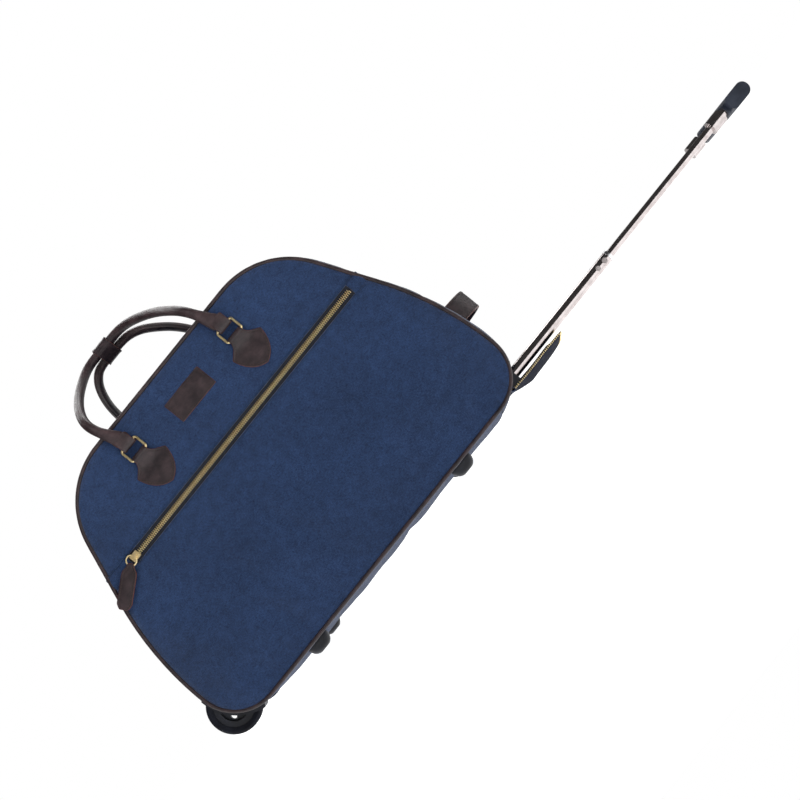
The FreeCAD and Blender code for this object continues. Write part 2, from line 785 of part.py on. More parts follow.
def handle_points(side):
    """The corners of one handle's middle line. The back handle lies lower towards the top."""
    points = []
    for x, y, z in HANDLE_ROUTE:
        share = max(0, (z - FREE_HEIGHT) / (HANDLE_TOP - FREE_HEIGHT)) if side > 0 else 0
        points.append(point(x, side * (y - BACK_SHIFT * share), z - BACK_DROP * share))
    return points


def handle_end(side, x, tip):
    """A flat loop round a ring's upper bar, and the neck that joins it to the rolled part."""
    half, radius, high, y = size("loop_half"), size("handle_loop"), size("ring_high"), side * size("ring_y")
    thick = radius - 0.2
    base = point(x, y, high)
    outline = [(base, -half), (base, half), (tip, 5), (tip, -5)]
    corners = [Vector(c.x + dx, y - thick, c.z) for c, dx in outline]
    wedge = Part.Face(Part.makePolygon(corners + corners[:1])).extrude(Vector(0, 2 * thick, 0))
    reach = (tip - base).Length + 2
    cone = Part.makeCone(radius, size("handle_radius") - 0.5, reach, base, tip - base)
    loop = Part.makeCylinder(radius, 2 * half, point(x - half, y, high), Vector(1, 0, 0))
    bore = size("ring_wire") + size("hinge_fit")
    hole = Part.makeCylinder(bore, 2 * half + 2, point(x - half - 1, y, high), Vector(1, 0, 0))
    return wedge.fuse(cone), loop, hole


def handle_shape(side):
    """A rolled leather handle with a flat loop at each end."""
    points = handle_points(side)
    body = piped(rounded_path(points), size("handle_radius"))
    middle, spacing = size("chape_middle"), size("chape_spacing")
    for x, tip in ((middle + spacing, points[0]), (middle - spacing, points[-1])):
        neck, loop, hole = handle_end(side, x, tip)
        body = body.fuse(neck).fuse(loop).cut(hole)
    return body


def wrap_shape():
    """A leather band round both handles where they meet."""
    grip, start, length = size("handle_radius") + 0.4, size("wrap_start"), size("wrap_length")
    front = Vector(0, -6, HANDLE_TOP)
    back = Vector(0, 6 - BACK_SHIFT, HANDLE_TOP - BACK_DROP)
    across = back - front
    turn = Rotation(Vector(0, 1, 0), across)
    skins = []
    for radius in (grip + size("wrap_sheet"), grip):
        rounds = [
            Part.makeCylinder(radius, length, point(start, c.y, c.z), Vector(1, 0, 0))
            for c in (front, back)
        ]
        box = Part.makeBox(length, across.Length, 2 * radius, Vector(0, 0, -radius))
        box.Placement = Placement(point(start, front.y, front.z), turn)
        skins.append(rounds[0].fuse(rounds[1]).fuse(box))
    return skins[0].cut(skins[1])


def make_handles():
    """Chapes, rings and handles, front and back. The four chapes share a node."""
    node("chapes", fuse(*[chape(side, x) for side in SIDES.values() for x in chape_middles().values()]))
    for name, side in SIDES.items():
        for which, sign in (("left", -1), ("right", 1)):
            x = size("chape_middle") + sign * size("chape_spacing")
            node(f"{name}_{which}_ring", solid(ring_shape(side, x)))
        node(f"{name}_handle", solid(handle_shape(side)))
    node("handle_wrap", solid(wrap_shape()))


# ---------------------------------------------------------------- small leather and the trolley flap


def make_leather():
    """The label patch and the grab strap on the handle end."""
    node("label_patch", block("-label_length / 2", f"-{HALF} - 1.6", "label_height - label_width / 2",
                              "label_length", 1.6, "label_width"))
    arch_half, foot_half = 46, 62
    near, reach, thick = 258.5, size("strap_reach"), size("strap_sheet")
    arch_half, foot_half = 46, 62
    hollow = arch_half - thick
    arch = [
        Part.Arc(Vector(near, -arch_half, 0), Vector(reach, 0, 0), Vector(near, arch_half, 0)),
        Part.LineSegment(Vector(near, -arch_half, 0), Vector(near, -hollow, 0)),
        Part.Arc(Vector(near, -hollow, 0), Vector(reach - thick, 0, 0), Vector(near, hollow, 0)),
        Part.LineSegment(Vector(near, hollow, 0), Vector(near, arch_half, 0)),
    ]
    low = "strap_height - strap_width / 2"
    bow = padded("XY_Plane", arch, "strap_width", 0, 0, low)
    feet = [
        block(near, y, low, "strap_sheet", foot_half - hollow, "strap_width")
        for y in (-foot_half, hollow)
    ]
    node("grab_strap", fuse(bow, *feet))


def make_trolley_flap():
    """A hood over the tube exit and the open zip flap under the tubes."""
    depth = "2 * hood_half"
    band = cut(slab(-5.8, depth, "hood_half"), slab(-0.3, depth, "hood_half"))
    node("handle_hood", common(band, region("half_base", "-hood_half", "tube_height + 12.5", "half_base + 80",
                                            "hood_half", 76)))
    end, half = size("flap_end"), size("flap_half")
    start = size("flap_hinge_x")
    edge = polyline((start, -half), (end, -half), (end - 9, 0), (end, half), (start, half))
    node("handle_flap", padded("XY_Plane", edge, "flap_sheet", 0, 0, 0))
    teeth = 3
    row, wide, far = start + 12, half + teeth, end + teeth
    rim_line = polyline((row, -wide), (far, -wide), (far - 9, 0), (far, wide), (row, wide),
                        (row, half), (end, half), (end - 9, 0), (end, -half), (row, -half))
    node("flap_zip_teeth", padded("XY_Plane", rim_line, 2.6, 0, 0, 0.45))


def write_parts():
    """Checks every object, then writes each sub-part's shape."""
    doc.recompute()
    for item in doc.Objects:
        if "Invalid" in item.State or "Error" in item.State:
            raise RuntimeError(f"{item.Label} failed: {item.State}")
    os.makedirs("parts", exist_ok=True)
    for item in nodes:
        if item.Shape.isNull() or not item.Shape.isValid() or not item.Shape.Solids:
            raise RuntimeError(f"{item.Label} has no sound shape")
    for item in nodes:
        item.Shape.exportStep(os.path.join("parts", item.Label + ".step"))
    print(len(nodes), "nodes")


make_panels()
make_gussets()
make_lining()
make_piping()
make_front_zip()
make_main_zip()
make_base()
make_trolley()
make_grip()
make_wheels()
make_handles()
make_leather()
make_trolley_flap()
write_parts()
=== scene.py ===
"""Wheeled canvas holdall: the soft goods, the trimmings and the materials around the CAD frame.

Lengths in this file are in millimetres of the bag: x along the bag from its middle towards the
trolley handle, y to the back, z up from the underside of the base. at() turns them into the frame.
"""
import math
import random

import bmesh
import bpy
import numpy as np
from mathutils import Matrix, Vector


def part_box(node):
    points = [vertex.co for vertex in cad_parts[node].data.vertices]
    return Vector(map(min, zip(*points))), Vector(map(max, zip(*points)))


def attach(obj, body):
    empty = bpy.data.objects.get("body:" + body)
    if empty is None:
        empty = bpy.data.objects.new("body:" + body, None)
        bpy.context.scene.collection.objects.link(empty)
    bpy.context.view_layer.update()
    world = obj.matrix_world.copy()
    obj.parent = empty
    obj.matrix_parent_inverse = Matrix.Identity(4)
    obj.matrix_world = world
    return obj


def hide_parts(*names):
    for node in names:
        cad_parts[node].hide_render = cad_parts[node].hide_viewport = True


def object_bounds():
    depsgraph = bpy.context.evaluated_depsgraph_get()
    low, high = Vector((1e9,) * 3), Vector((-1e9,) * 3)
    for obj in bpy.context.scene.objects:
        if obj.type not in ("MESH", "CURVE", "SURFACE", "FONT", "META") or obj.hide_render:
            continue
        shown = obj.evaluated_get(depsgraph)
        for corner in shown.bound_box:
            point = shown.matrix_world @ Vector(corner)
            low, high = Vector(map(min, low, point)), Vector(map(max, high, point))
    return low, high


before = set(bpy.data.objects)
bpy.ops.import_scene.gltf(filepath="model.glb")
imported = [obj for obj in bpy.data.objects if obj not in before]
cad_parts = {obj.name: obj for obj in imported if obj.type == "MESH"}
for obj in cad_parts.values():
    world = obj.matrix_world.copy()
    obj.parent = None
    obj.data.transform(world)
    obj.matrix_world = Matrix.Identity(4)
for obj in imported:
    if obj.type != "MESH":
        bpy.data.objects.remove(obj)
cad_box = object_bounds()

MM = 0.001
base_low, base_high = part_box("base_panel")
ORIGIN = Vector(((base_low.x + base_high.x) / 2, 0, base_low.z))


def at(x, y, z):
    """A point of the bag, in the frame."""
    return ORIGIN + Vector((x, y, z)) * MM


def of_bag(point):
    """A point of the frame in the bag's millimetres."""
    return (Vector(point) - ORIGIN) / MM


def spans(node):
    """Lowest and highest corner of a CAD node in the bag's millimetres."""
    low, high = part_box(node)
    return of_bag(low), of_bag(high)


# ------------------------------------------------------------------ the bag's outline

HALF_BASE, FOOT_CORNER = 205, 55
SIDE_CURVE, SIDE_LEAN = 387, math.radians(22)
TOP_CORNER, TOP_MIDDLE, BAG_HEIGHT = 100, 111.8, 330
HALF_DEPTH = 125
SEAM_HEIGHT = 150
PIPING_RADIUS = 2
ZIP_HEIGHT = 217
WELT_HALF = 6.4
MAIN_WELT_HALF = 8.5
CANVAS_SHEET = 2.2


def half_outline(step=0.5):
    """Dense points of the right half of the outline, with outward normals and running length."""
    side_middle = HALF_BASE + FOOT_CORNER - SIDE_CURVE
    lean = np.array([math.cos(SIDE_LEAN), math.sin(SIDE_LEAN)])
    foot = np.array([side_middle, FOOT_CORNER]) + SIDE_CURVE * lean
    top_middle = np.array([TOP_MIDDLE, BAG_HEIGHT - TOP_CORNER])
    shoulder = top_middle + TOP_CORNER * lean
    runs = []

    def line(a, b, normal):
        a, b = np.array(a, float), np.array(b, float)
        count = max(2, int(np.linalg.norm(b - a) / step))
        for t in np.linspace(0, 1, count, endpoint=False):
            runs.append((*(a + (b - a) * t), *normal))

    def arc(middle, radius, start, end):
        count = max(2, int(abs(end - start) * radius / step))
        for angle in np.linspace(start, end, count, endpoint=False):
            normal = np.array([math.cos(angle), math.sin(angle)])
            runs.append((*(np.array(middle) + radius * normal), *normal))

    line((0, 0), (HALF_BASE, 0), (0, -1))
    arc((HALF_BASE, FOOT_CORNER), FOOT_CORNER, -math.pi / 2, 0)
    arc((side_middle, FOOT_CORNER), SIDE_CURVE, 0, SIDE_LEAN)
    line(foot, shoulder, lean)
    arc(top_middle, TOP_CORNER, SIDE_LEAN, math.pi / 2)
    line((top_middle[0], BAG_HEIGHT), (0, BAG_HEIGHT), (0, 1))
    runs.append((0, BAG_HEIGHT, 0, 1))
    table = np.array(runs)
    lengths = np.hypot(*np.diff(table[:, :2], axis=0).T)
    return np.concatenate([[0], np.cumsum(lengths)]), table


RUN, OUTLINE = half_outline()
HALF_RUN = RUN[-1]


def edge(run, inset=0.0):
    """(x, z, normal x, normal z) of the outline; a negative run is on the wheel side."""
    side = -1 if run < 0 else 1
    x, z, nx, nz = (np.interp(abs(run), RUN, OUTLINE[:, k]) for k in range(4))
    return side * (x - inset * nx), z - inset * nz, side * nx, nz


def run_at_height(z, inset=0.0):
    """Where the side of the outline reaches a height."""
    rising = RUN > HALF_BASE
    return float(np.interp(z, (OUTLINE[:, 1] - inset * OUTLINE[:, 3])[rising], RUN[rising]))


def half_width(z, inset=0.0):
    """Half of the bag's width at a height."""
    return edge(run_at_height(z, inset), inset)[0]


# ------------------------------------------------------------------ materials


def material(name, **fixed):
    """A new material and its shader, with values that are the same all over set on its sockets."""
    made = bpy.data.materials.new(name)
    made.use_nodes = True
    shader = made.node_tree.nodes["Principled BSDF"]
    for socket, value in fixed.items():
        shader.inputs[socket.replace("_", " ")].default_value = value
    return made, shader


def add(made, kind, props=None, **inputs):
    """A node with its inputs set or linked by name."""
    item = made.node_tree.nodes.new("ShaderNode" + kind)
    for key, value in (props or {}).items():
        setattr(item, key, value)
    for key, value in inputs.items():
        socket = item.inputs[key.replace("_", " ")]
        if isinstance(value, bpy.types.NodeSocket):
            made.node_tree.links.new(value, socket)
        else:
            socket.default_value = value
    return item.outputs[0]


def link(made, output, shader, socket):
    made.node_tree.links.new(output, shader.inputs[socket])


def local(made):
    """Coordinates that stay with the piece."""
    item = made.node_tree.nodes.new("ShaderNodeTexCoord")
    return item.outputs["Object"]


def cloth_map(made):
    """Coordinates along the cloth, in metres."""
    return add(made, "UVMap", {"uv_map": "cloth"})


def stretched(made, vector, x=1.0, y=1.0, z=1.0):
    return add(made, "Mapping", Vector=vector, Scale=(x, y, z))


def noise(made, vector, scale, detail=3.0, roughness=0.55):
    return add(made, "TexNoise", Vector=vector, Scale=scale, Detail=detail, Roughness=roughness)


def ramp(made, factor, *stops):
    """A colour ramp from (position, colour) pairs; a number stands for a grey."""
    item = made.node_tree.nodes.new("ShaderNodeValToRGB")
    made.node_tree.links.new(factor, item.inputs[0])
    points = item.color_ramp.elements
    while len(points) < len(stops):
        points.new(0.5)
    for point, (place, colour) in zip(points, stops):
        point.position = place
        point.color = (*colour, 1) if isinstance(colour, tuple) else (colour, colour, colour, 1)
    return item.outputs[0]


def blended(made, factor, a, b, mode="MIX"):
    """Two colours mixed."""
    item = made.node_tree.nodes.new("ShaderNodeMix")
    item.data_type = "RGBA"
    item.blend_type = mode
    for index, value in ((0, factor), (6, a), (7, b)):
        socket = item.inputs[index]
        if isinstance(value, bpy.types.NodeSocket):
            made.node_tree.links.new(value, socket)
        else:
            socket.default_value = (*value, 1) if isinstance(value, tuple) else value
    return item.outputs[2]


def bumped(made, shader, *layers):
    """Height layers (height, strength, distance in mm) on top of each other."""
    normal = None
    for height, strength, distance in layers:
        fields = {"Height": height, "Strength": strength, "Distance": distance * MM}
        if normal is not None:
            fields["Normal"] = normal
        normal = add(made, "Bump", **fields)
    link(made, normal, shader, "Normal")


def woven(name, dark, light, pitch=0.9, heather=1.0, fuzz=0.25):
    """Plain weave of mottled yarn. The two yarn directions have their own slubs."""
    made, shader = material(name, Roughness=0.92, Sheen_Weight=fuzz, Sheen_Roughness=0.5,
                            Specular_IOR_Level=0.15)
    uv = cloth_map(made)
    threads = 1 / (pitch * MM)
    fac = add(made, "TexChecker", Vector=uv, Scale=threads, Color1=(1, 1, 1, 1), Color2=(0, 0, 0, 1))
    warp, weft = (add(made, "TexWave", {"bands_direction": way}, Vector=uv, Scale=threads / 2,
                      Distortion=0.6, Detail=1.0) for way in "XY")
    along = noise(made, stretched(made, uv, 260, 1500, 1), 1.0, 2.0)
    across = noise(made, stretched(made, uv, 1500, 260, 1), 1.0, 2.0)
    yarn = blended(made, fac, along, across)
    speckle = noise(made, uv, 520, 3.0, 0.7)
    cloud = noise(made, uv, 11, 4.0, 0.6)
    patches = noise(made, uv, 95, 3.0, 0.6)
    mottled = blended(made, 0.18, blended(made, 0.45, yarn, speckle), patches)
    shade = ramp(made, mottled, (0.5 - 0.13 / heather, dark), (0.5 + 0.15 / heather, light))
    worn = blended(made, 1.0, shade, ramp(made, cloud, (0.3, 0.82), (0.7, 1.12)), "MULTIPLY")
    link(made, worn, shader, "Base Color")
    weave = blended(made, fac, weft, warp)
    bumped(made, shader, (cloud, 0.12, 4), (speckle, 0.3, 0.35), (weave, 0.55, 0.22))
    return made


def leather(name, dark, light, roughness=0.42, grain=1.0):
    """Grained leather, a little lighter where its creases are raised, and lighter and drier in soft patches.
    """
    made, shader = material(name, Specular_IOR_Level=0.38)
    where = local(made)
    cells = add(made, "TexVoronoi", {"feature": "DISTANCE_TO_EDGE"}, Vector=where, Scale=1100)
    pores = noise(made, where, 900, 4.0)
    cloud = noise(made, where, 70, 4.0)
    creases = noise(made, stretched(made, where, 140, 420, 260), 1.0, 3.0)
    shade = ramp(made, cloud, (0.3, dark), (0.72, light))
    tinted = blended(made, 1.0, shade, ramp(made, creases, (0.35, 0.78), (0.65, 1.15)), "MULTIPLY")
    link(made, tinted, shader, "Base Color")
    link(made, ramp(made, cloud, (0.3, roughness - 0.08), (0.7, roughness + 0.12)), shader, "Roughness")
    grained = ramp(made, cells, (0.0, 0.0), (0.25, 1.0))
    bumped(made, shader, (creases, 0.25, 0.5), (pores, 0.3 * grain, 0.2), (grained, 0.35 * grain, 0.16))
    return made


def metal(name, colour, roughness, brushed=0.0, dull=None, tarnish=0.35):
    """Plated metal with faint handling marks; dull is the colour where it is worn or dirty."""
    made, shader = material(name, Metallic=1.0, Specular_IOR_Level=0.5)
    where = local(made)
    marks = noise(made, stretched(made, where, 60, 900, 900), 1.0, 4.0, 0.65)
    cloud = noise(made, where, 120, 3.0)
    shade = ramp(made, cloud, (0.5 - tarnish, dull or tuple(0.6 * c for c in colour)), (0.62, colour))
    link(made, shade, shader, "Base Color")
    link(made, ramp(made, marks, (0.3, roughness), (0.75, roughness + 0.14)), shader, "Roughness")
    bumped(made, shader, (marks, 0.04 + brushed, 0.05))
    return made


def moulded(name, dark, light, roughness=0.5, texture=900, depth=0.12, specular=0.4):
    """Moulded plastic or rubber with a fine spark-eroded surface."""
    made, shader = material(name, Specular_IOR_Level=specular)
    where = local(made)
    fine = noise(made, where, texture, 3.0)
    cloud = noise(made, where, 45, 3.0)
    link(made, ramp(made, cloud, (0.35, dark), (0.7, light)), shader, "Base Color")
    link(made, ramp(made, fine, (0.3, roughness - 0.06), (0.7, roughness + 0.1)), shader, "Roughness")
    bumped(made, shader, (fine, 0.35, depth), (cloud, 0.08, 0.4))
    return made


NAVY, DENIM = (0.0038, 0.0105, 0.034), (0.025, 0.056, 0.145)
canvas = woven("canvas_denim", NAVY, DENIM)
canvas_dark = woven("canvas_binding", (0.0012, 0.0024, 0.009), (0.0055, 0.01, 0.029), 0.7, fuzz=0.04)
tape_cloth = woven("zip_tape", (0.006, 0.007, 0.012), (0.022, 0.024, 0.034), 0.6, 1.4)
lining_cloth = woven("lining_nylon", (0.02, 0.022, 0.028), (0.05, 0.052, 0.06), 0.4, 1.2, 0.1)
brown = leather("leather_brown", (0.0115, 0.0072, 0.0088), (0.036, 0.022, 0.0245))
brown_handle = leather("leather_handle", (0.016, 0.010, 0.0115), (0.052, 0.032, 0.034), 0.42, 0.8)
raw_edge = leather("leather_raw_edge", (0.055, 0.014, 0.01), (0.13, 0.034, 0.024), 0.6, 1.4)
dark_piping = leather("leather_piping", (0.012, 0.008, 0.010), (0.04, 0.024, 0.026), 0.45)
brass = metal("brass", (0.93, 0.76, 0.43), 0.34, 0.02, (0.66, 0.48, 0.2))
brass_teeth = metal("brass_teeth", (0.95, 0.8, 0.48), 0.45, 0.02, (0.72, 0.54, 0.26))
chrome = metal("chrome", (0.53, 0.485, 0.48), 0.07, 0.01, (0.4, 0.355, 0.35), 0.2)
bright = metal("satin_collar", (0.72, 0.72, 0.73), 0.25, 0.03)
steel = metal("steel", (0.5, 0.5, 0.51), 0.3, 0.03)
black_plastic = moulded("black_plastic", (0.0045, 0.005, 0.008), (0.011, 0.0125, 0.019), 0.38, specular=0.3)
tyre_rubber = moulded("tyre_rubber", (0.004, 0.0045, 0.0075), (0.0095, 0.011, 0.018), 0.62, 700, 0.2, 0.15)
grip_rubber = moulded("grip_rubber", (0.011, 0.0145, 0.024), (0.026, 0.032, 0.049), 0.5, 1100, 0.15, 0.3)
board = moulded("fibre_board", (0.05, 0.045, 0.04), (0.09, 0.08, 0.07), 0.7, 500, 0.2)
thread_navy = moulded("thread_navy", (0.012, 0.02, 0.045), (0.035, 0.06, 0.12), 0.7, 2500, 0.1, 0.2)
thread_brown = moulded("thread_brown", (0.022, 0.012, 0.011), (0.06, 0.035, 0.03), 0.6, 2500, 0.1, 0.3)
floor_paint = moulded("pale_floor", (0.8, 0.8, 0.8), (0.84, 0.84, 0.84), 0.8, 30, 0.1, 0.1)
floor_shader = floor_paint.node_tree.nodes["Principled BSDF"]
floor_shader.inputs["Emission Color"].default_value = (1, 1, 1, 1)
floor_shader.inputs["Emission Strength"].default_value = 1.0

# ------------------------------------------------------------------ meshes


def piece(name, mesh, made, body, *replaced, slot=None):
    """A finished object on its body, standing for CAD nodes."""
    item = bpy.data.objects.new(name, mesh)
    bpy.context.scene.collection.objects.link(item)
    mesh.polygons.foreach_set("use_smooth", [True] * len(mesh.polygons))
    for extra in made if isinstance(made, (list, tuple)) else [made]:
        mesh.materials.append(extra)
    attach(item, body)
    if replaced:
        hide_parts(*replaced)
    return item


def mesh_of(bm, name):
    """The finished mesh; the working one is let go."""
    mesh = bpy.data.meshes.new(name)
    bm.to_mesh(mesh)
    bm.free()
    return mesh


def modifier(item, kind, **settings):
    made = item.modifiers.new(kind.lower(), kind)
    for key, value in settings.items():
        setattr(made, key, value)


def thickened(item, thickness, offset=-1):
    """Gives a sheet its thickness and rounds it."""
    modifier(item, "SOLIDIFY", thickness=thickness * MM, offset=offset)
    modifier(item, "SUBSURF", levels=1, render_levels=1)


def cloth_mesh():
    """An empty mesh with cloth coordinates and part numbers."""
    bm = bmesh.new()
    bm.loops.layers.uv.new("cloth")
    bm.faces.layers.int.new("part")
    return bm


def sheet_grid(bm, rows, uvs, tag):
    """A grid of quads over rows of points, with cloth coordinates and a part number."""
    made = [[bm.verts.new(at(*p)) for p in row] for row in rows]
    layer = bm.loops.layers.uv["cloth"]
    part = bm.faces.layers.int["part"]
    for r in range(len(rows) - 1):
        for c in range(len(rows[0]) - 1):
            number = tag(r, c) if callable(tag) else tag
            if number is None:
                continue
            corners = [(r, c), (r, c + 1), (r + 1, c + 1), (r + 1, c)]
            face = bm.faces.new([made[i][j] for i, j in corners])
            face[part] = number
            for loop, (i, j) in zip(face.loops, corners):
                u, v = uvs(i, j)
                loop[layer].uv = (u * MM, v * MM)
    return made


# ------------------------------------------------------------------ the canvas shell

PARTS = ("front_upper", "front_lower", "back", "top_gusset_front", "top_gusset_back",
         "wheel_end", "handle_end", "base")
FRONT_UPPER, FRONT_LOWER, BACK, TOP_FRONT, TOP_BACK, WHEEL_END, HANDLE_END, BASE = range(8)
SEAM_Y = HALF_DEPTH - PIPING_RADIUS
SEAM_INSET = PIPING_RADIUS

tyre_low, tyre_high = spans("front_tyre")
WHEEL = Vector(((tyre_low.x + tyre_high.x) / 2, (tyre_low.y + tyre_high.y) / 2,
                (tyre_low.z + tyre_high.z) / 2))
WELL_RADIUS = (tyre_high.z - tyre_low.z) / 2 + 4
WELL_HALF = (tyre_high.y - tyre_low.y) / 2 + 4.5
WELL_SPAN = (abs(WHEEL.y) - WELL_HALF, abs(WHEEL.y) + WELL_HALF)
exit_low, exit_high = spans("exit_bezel")
strap_low, strap_high = spans("grab_strap")
hood_low, hood_high = spans("handle_hood")
label_low, label_high = spans("label_patch")
FEET = [(x, y) for x in (-133, 131) for y in (-82, 82)]
RING_MIDDLES = (-87, 83)


def well_runs():
    """Where the wheel well cuts the outline."""
    inside = [s for s in np.arange(HALF_BASE - 20, HALF_RUN / 2, 0.5)
              if math.dist(edge(-s)[:2], (WHEEL.x, WHEEL.z)) < WELL_RADIUS]
    return min(inside), max(inside)


def spread(keys, counts):
    """Stations between the keys, so many steps from each to the next."""
    runs = [np.linspace(a, b, n, endpoint=False) for a, b, n in zip(keys, keys[1:], counts)]
    return np.concatenate([*runs, [keys[-1]]])


QUARTER = FOOT_CORNER * math.pi / 4
FOOT_RUN = HALF_BASE + QUARTER
SHOULDER_RUN = HALF_RUN - TOP_MIDDLE - TOP_CORNER * math.pi / 4
WELT_RUNS = [run_at_height(ZIP_HEIGHT + side * WELT_HALF, SEAM_INSET) for side in (-1, 1)]
SEAM_RUN = run_at_height(SEAM_HEIGHT)
EXIT_RUNS = [run_at_height(z) for z in (exit_low.z, exit_high.z)]
WELL_RUNS = well_runs()
UPWARD = [SEAM_RUN, *WELT_RUNS, SHOULDER_RUN, HALF_RUN]
RIGHT = spread([0, HALF_BASE, EXIT_RUNS[0], FOOT_RUN, EXIT_RUNS[1], *UPWARD],
               [28, 3, 4, 2, 19, 9, 3, 13, 35])
LEFT = spread([0, HALF_BASE, WELL_RUNS[0], FOOT_RUN, WELL_RUNS[1], *UPWARD],
              [28, 3, 4, 7, 14, 9, 3, 13, 35])
AT_FOOT, AT_LOW_WELT, AT_HIGH_WELT, AT_SHOULDER, AT_TOP = 35, 65, 68, 81, 116
LOOP = [*RIGHT, *(-LEFT[::-1])]
BESIDE_SEAM = 120.5
COLUMNS = spread([-SEAM_Y, -BESIDE_SEAM, -WELL_SPAN[1], -WELL_SPAN[0], exit_low.y, -MAIN_WELT_HALF,
                  MAIN_WELT_HALF, exit_high.y, WELL_SPAN[0], WELL_SPAN[1], BESIDE_SEAM, SEAM_Y],
                 [1, 2, 4, 3, 9, 3, 9, 3, 4, 2, 1])


def rise(distance, over=5.0):
    """0 at a seam and 1 from a short way in, rounded."""
    t = min(1.0, max(0.0, distance / over))
    return math.sqrt(1 - (1 - t) ** 2)


def to_box(x, z, x_half, z_half):
    """How far outside a rectangle round the origin a point is."""
    return math.hypot(max(0, abs(x) - x_half), max(0, abs(z) - z_half))


def inside_edge(x, z):
    """How far inside the outline a point is."""
    return float(np.hypot(OUTLINE[:, 0] - abs(x), OUTLINE[:, 1] - z).min())


def panel_room(x, z, front):
    """How far a panel may stand proud: little at its seams and under what is fixed to it."""
    room = [8, 0.3 + 0.1 * inside_edge(x, z)]
    for middle in RING_MIDDLES:
        room.append(0.4 + 0.09 * to_box(x - middle, z - 259, 25, 24))
    if front:
        below = abs(z - ZIP_HEIGHT) - WELT_HALF
        room.append(0.25 + 0.012 * below + 0.1 * max(0, below - 60))
        room.append(0.4 + 0.09 * to_box(x, z - label_high.z + 14, 30, 15))
    return min(room)


def gusset_room(run, y):
    """How far the band round the bag may stand proud of its outline."""
    x, z, _, _ = edge(run)
    top = 4 + 4 * math.exp(-((run - SHOULDER_RUN) / 60) ** 2)
    if abs(run) < HALF_BASE:
        top = 6.5
    elif run < 0 and z < 290:
        top = 4 + 10 * math.exp(-((z - 150) / 75) ** 2)
    elif z < 200:
        top = 6
    room = [top, 0.3 + 0.3 * (SEAM_Y - abs(y))]
    if z > SEAM_HEIGHT:
        room.append(0.2 + 0.02 * max(0, abs(y) - MAIN_WELT_HALF) + 0.12 * max(0, abs(y) - 22))
    if z < 140 and run < 0:
        well = math.dist((x, z), (WHEEL.x, WHEEL.z)) - WELL_RADIUS
        room.append(0.3 + 0.1 * math.hypot(max(0, well), max(0, abs(abs(y) - abs(WHEEL.y)) - WELL_HALF)))
    if x > 0 and z < SEAM_HEIGHT and abs(run) > HALF_BASE:
        room.append(0.4 + 0.1 * to_box(y, z - 45, hood_high.y, 36))
        room.append(0.5 + 0.12 * to_box(abs(y) - 54, z - strap_low.z - 15, 9, 16))
    if abs(run) < HALF_BASE:
        room.append(0.2 + 0.13 * max(0, min(math.dist((x, y), foot) for foot in FEET) - 17))
    return min(room)


def running(table):
    """Length along a row of points, at each of them."""
    return np.concatenate([[0], np.cumsum(np.linalg.norm(np.diff(table, axis=0), axis=1))])


def between(s, lengths, table):
    """The value at a length along a row."""
    return Vector([np.interp(s, lengths, table[:, k]) for k in range(3)])


def neighbours(path, i):
    """The points before and after one, or the point itself at an end."""
    return path[max(i - 1, 0)], path[min(i + 1, len(path) - 1)]


def coons(bottom, top, left, right):
    """A grid of (x, z) points between four edges that share their corners."""
    rows, columns = len(left), len(bottom)
    bottom, top, left, right = (np.array(side, float)[:, :2] for side in (bottom, top, left, right))
    grid = np.zeros((rows, columns, 2))
    for i, v in enumerate(np.linspace(0, 1, rows)):
        for j, u in enumerate(np.linspace(0, 1, columns)):
            grid[i, j] = ((1 - v) * bottom[j] + v * top[j] + (1 - u) * left[i] + u * right[i]
                          - (1 - u) * (1 - v) * bottom[0] - u * (1 - v) * bottom[-1]
                          - (1 - u) * v * top[0] - u * v * top[-1])
    return grid


def seam_points(low, high, side):
    """The panel's sewn edge between two stations of one side."""
    runs = (RIGHT if side > 0 else -LEFT)[low:high + 1]
    return [edge(s, SEAM_INSET) for s in runs]


def level(index, count):
    """A straight edge across the panel at a welt."""
    (x0, z0, *_), (x1, z1, *_) = edge(-LEFT[index], SEAM_INSET), edge(RIGHT[index], SEAM_INSET)
    return [(x0 + (x1 - x0) * t, z0 + (z1 - z0) * t) for t in np.linspace(0, 1, count)]


def panel_grid(low, high, foot, head):
    """A panel between two stations; foot and head say whether it runs on to the outline there."""
    left, right = seam_points(low, high, -1), seam_points(low, high, 1)
    bottom = (seam_points(0, low, -1)[::-1] + seam_points(0, low, 1)[1:]) if foot else level(low, 71)
    top = level(high, 71)
    if head:
        top = seam_points(high, AT_TOP, -1) + seam_points(high, AT_TOP, 1)[::-1][1:]
    return coons(bottom, top, left, right)


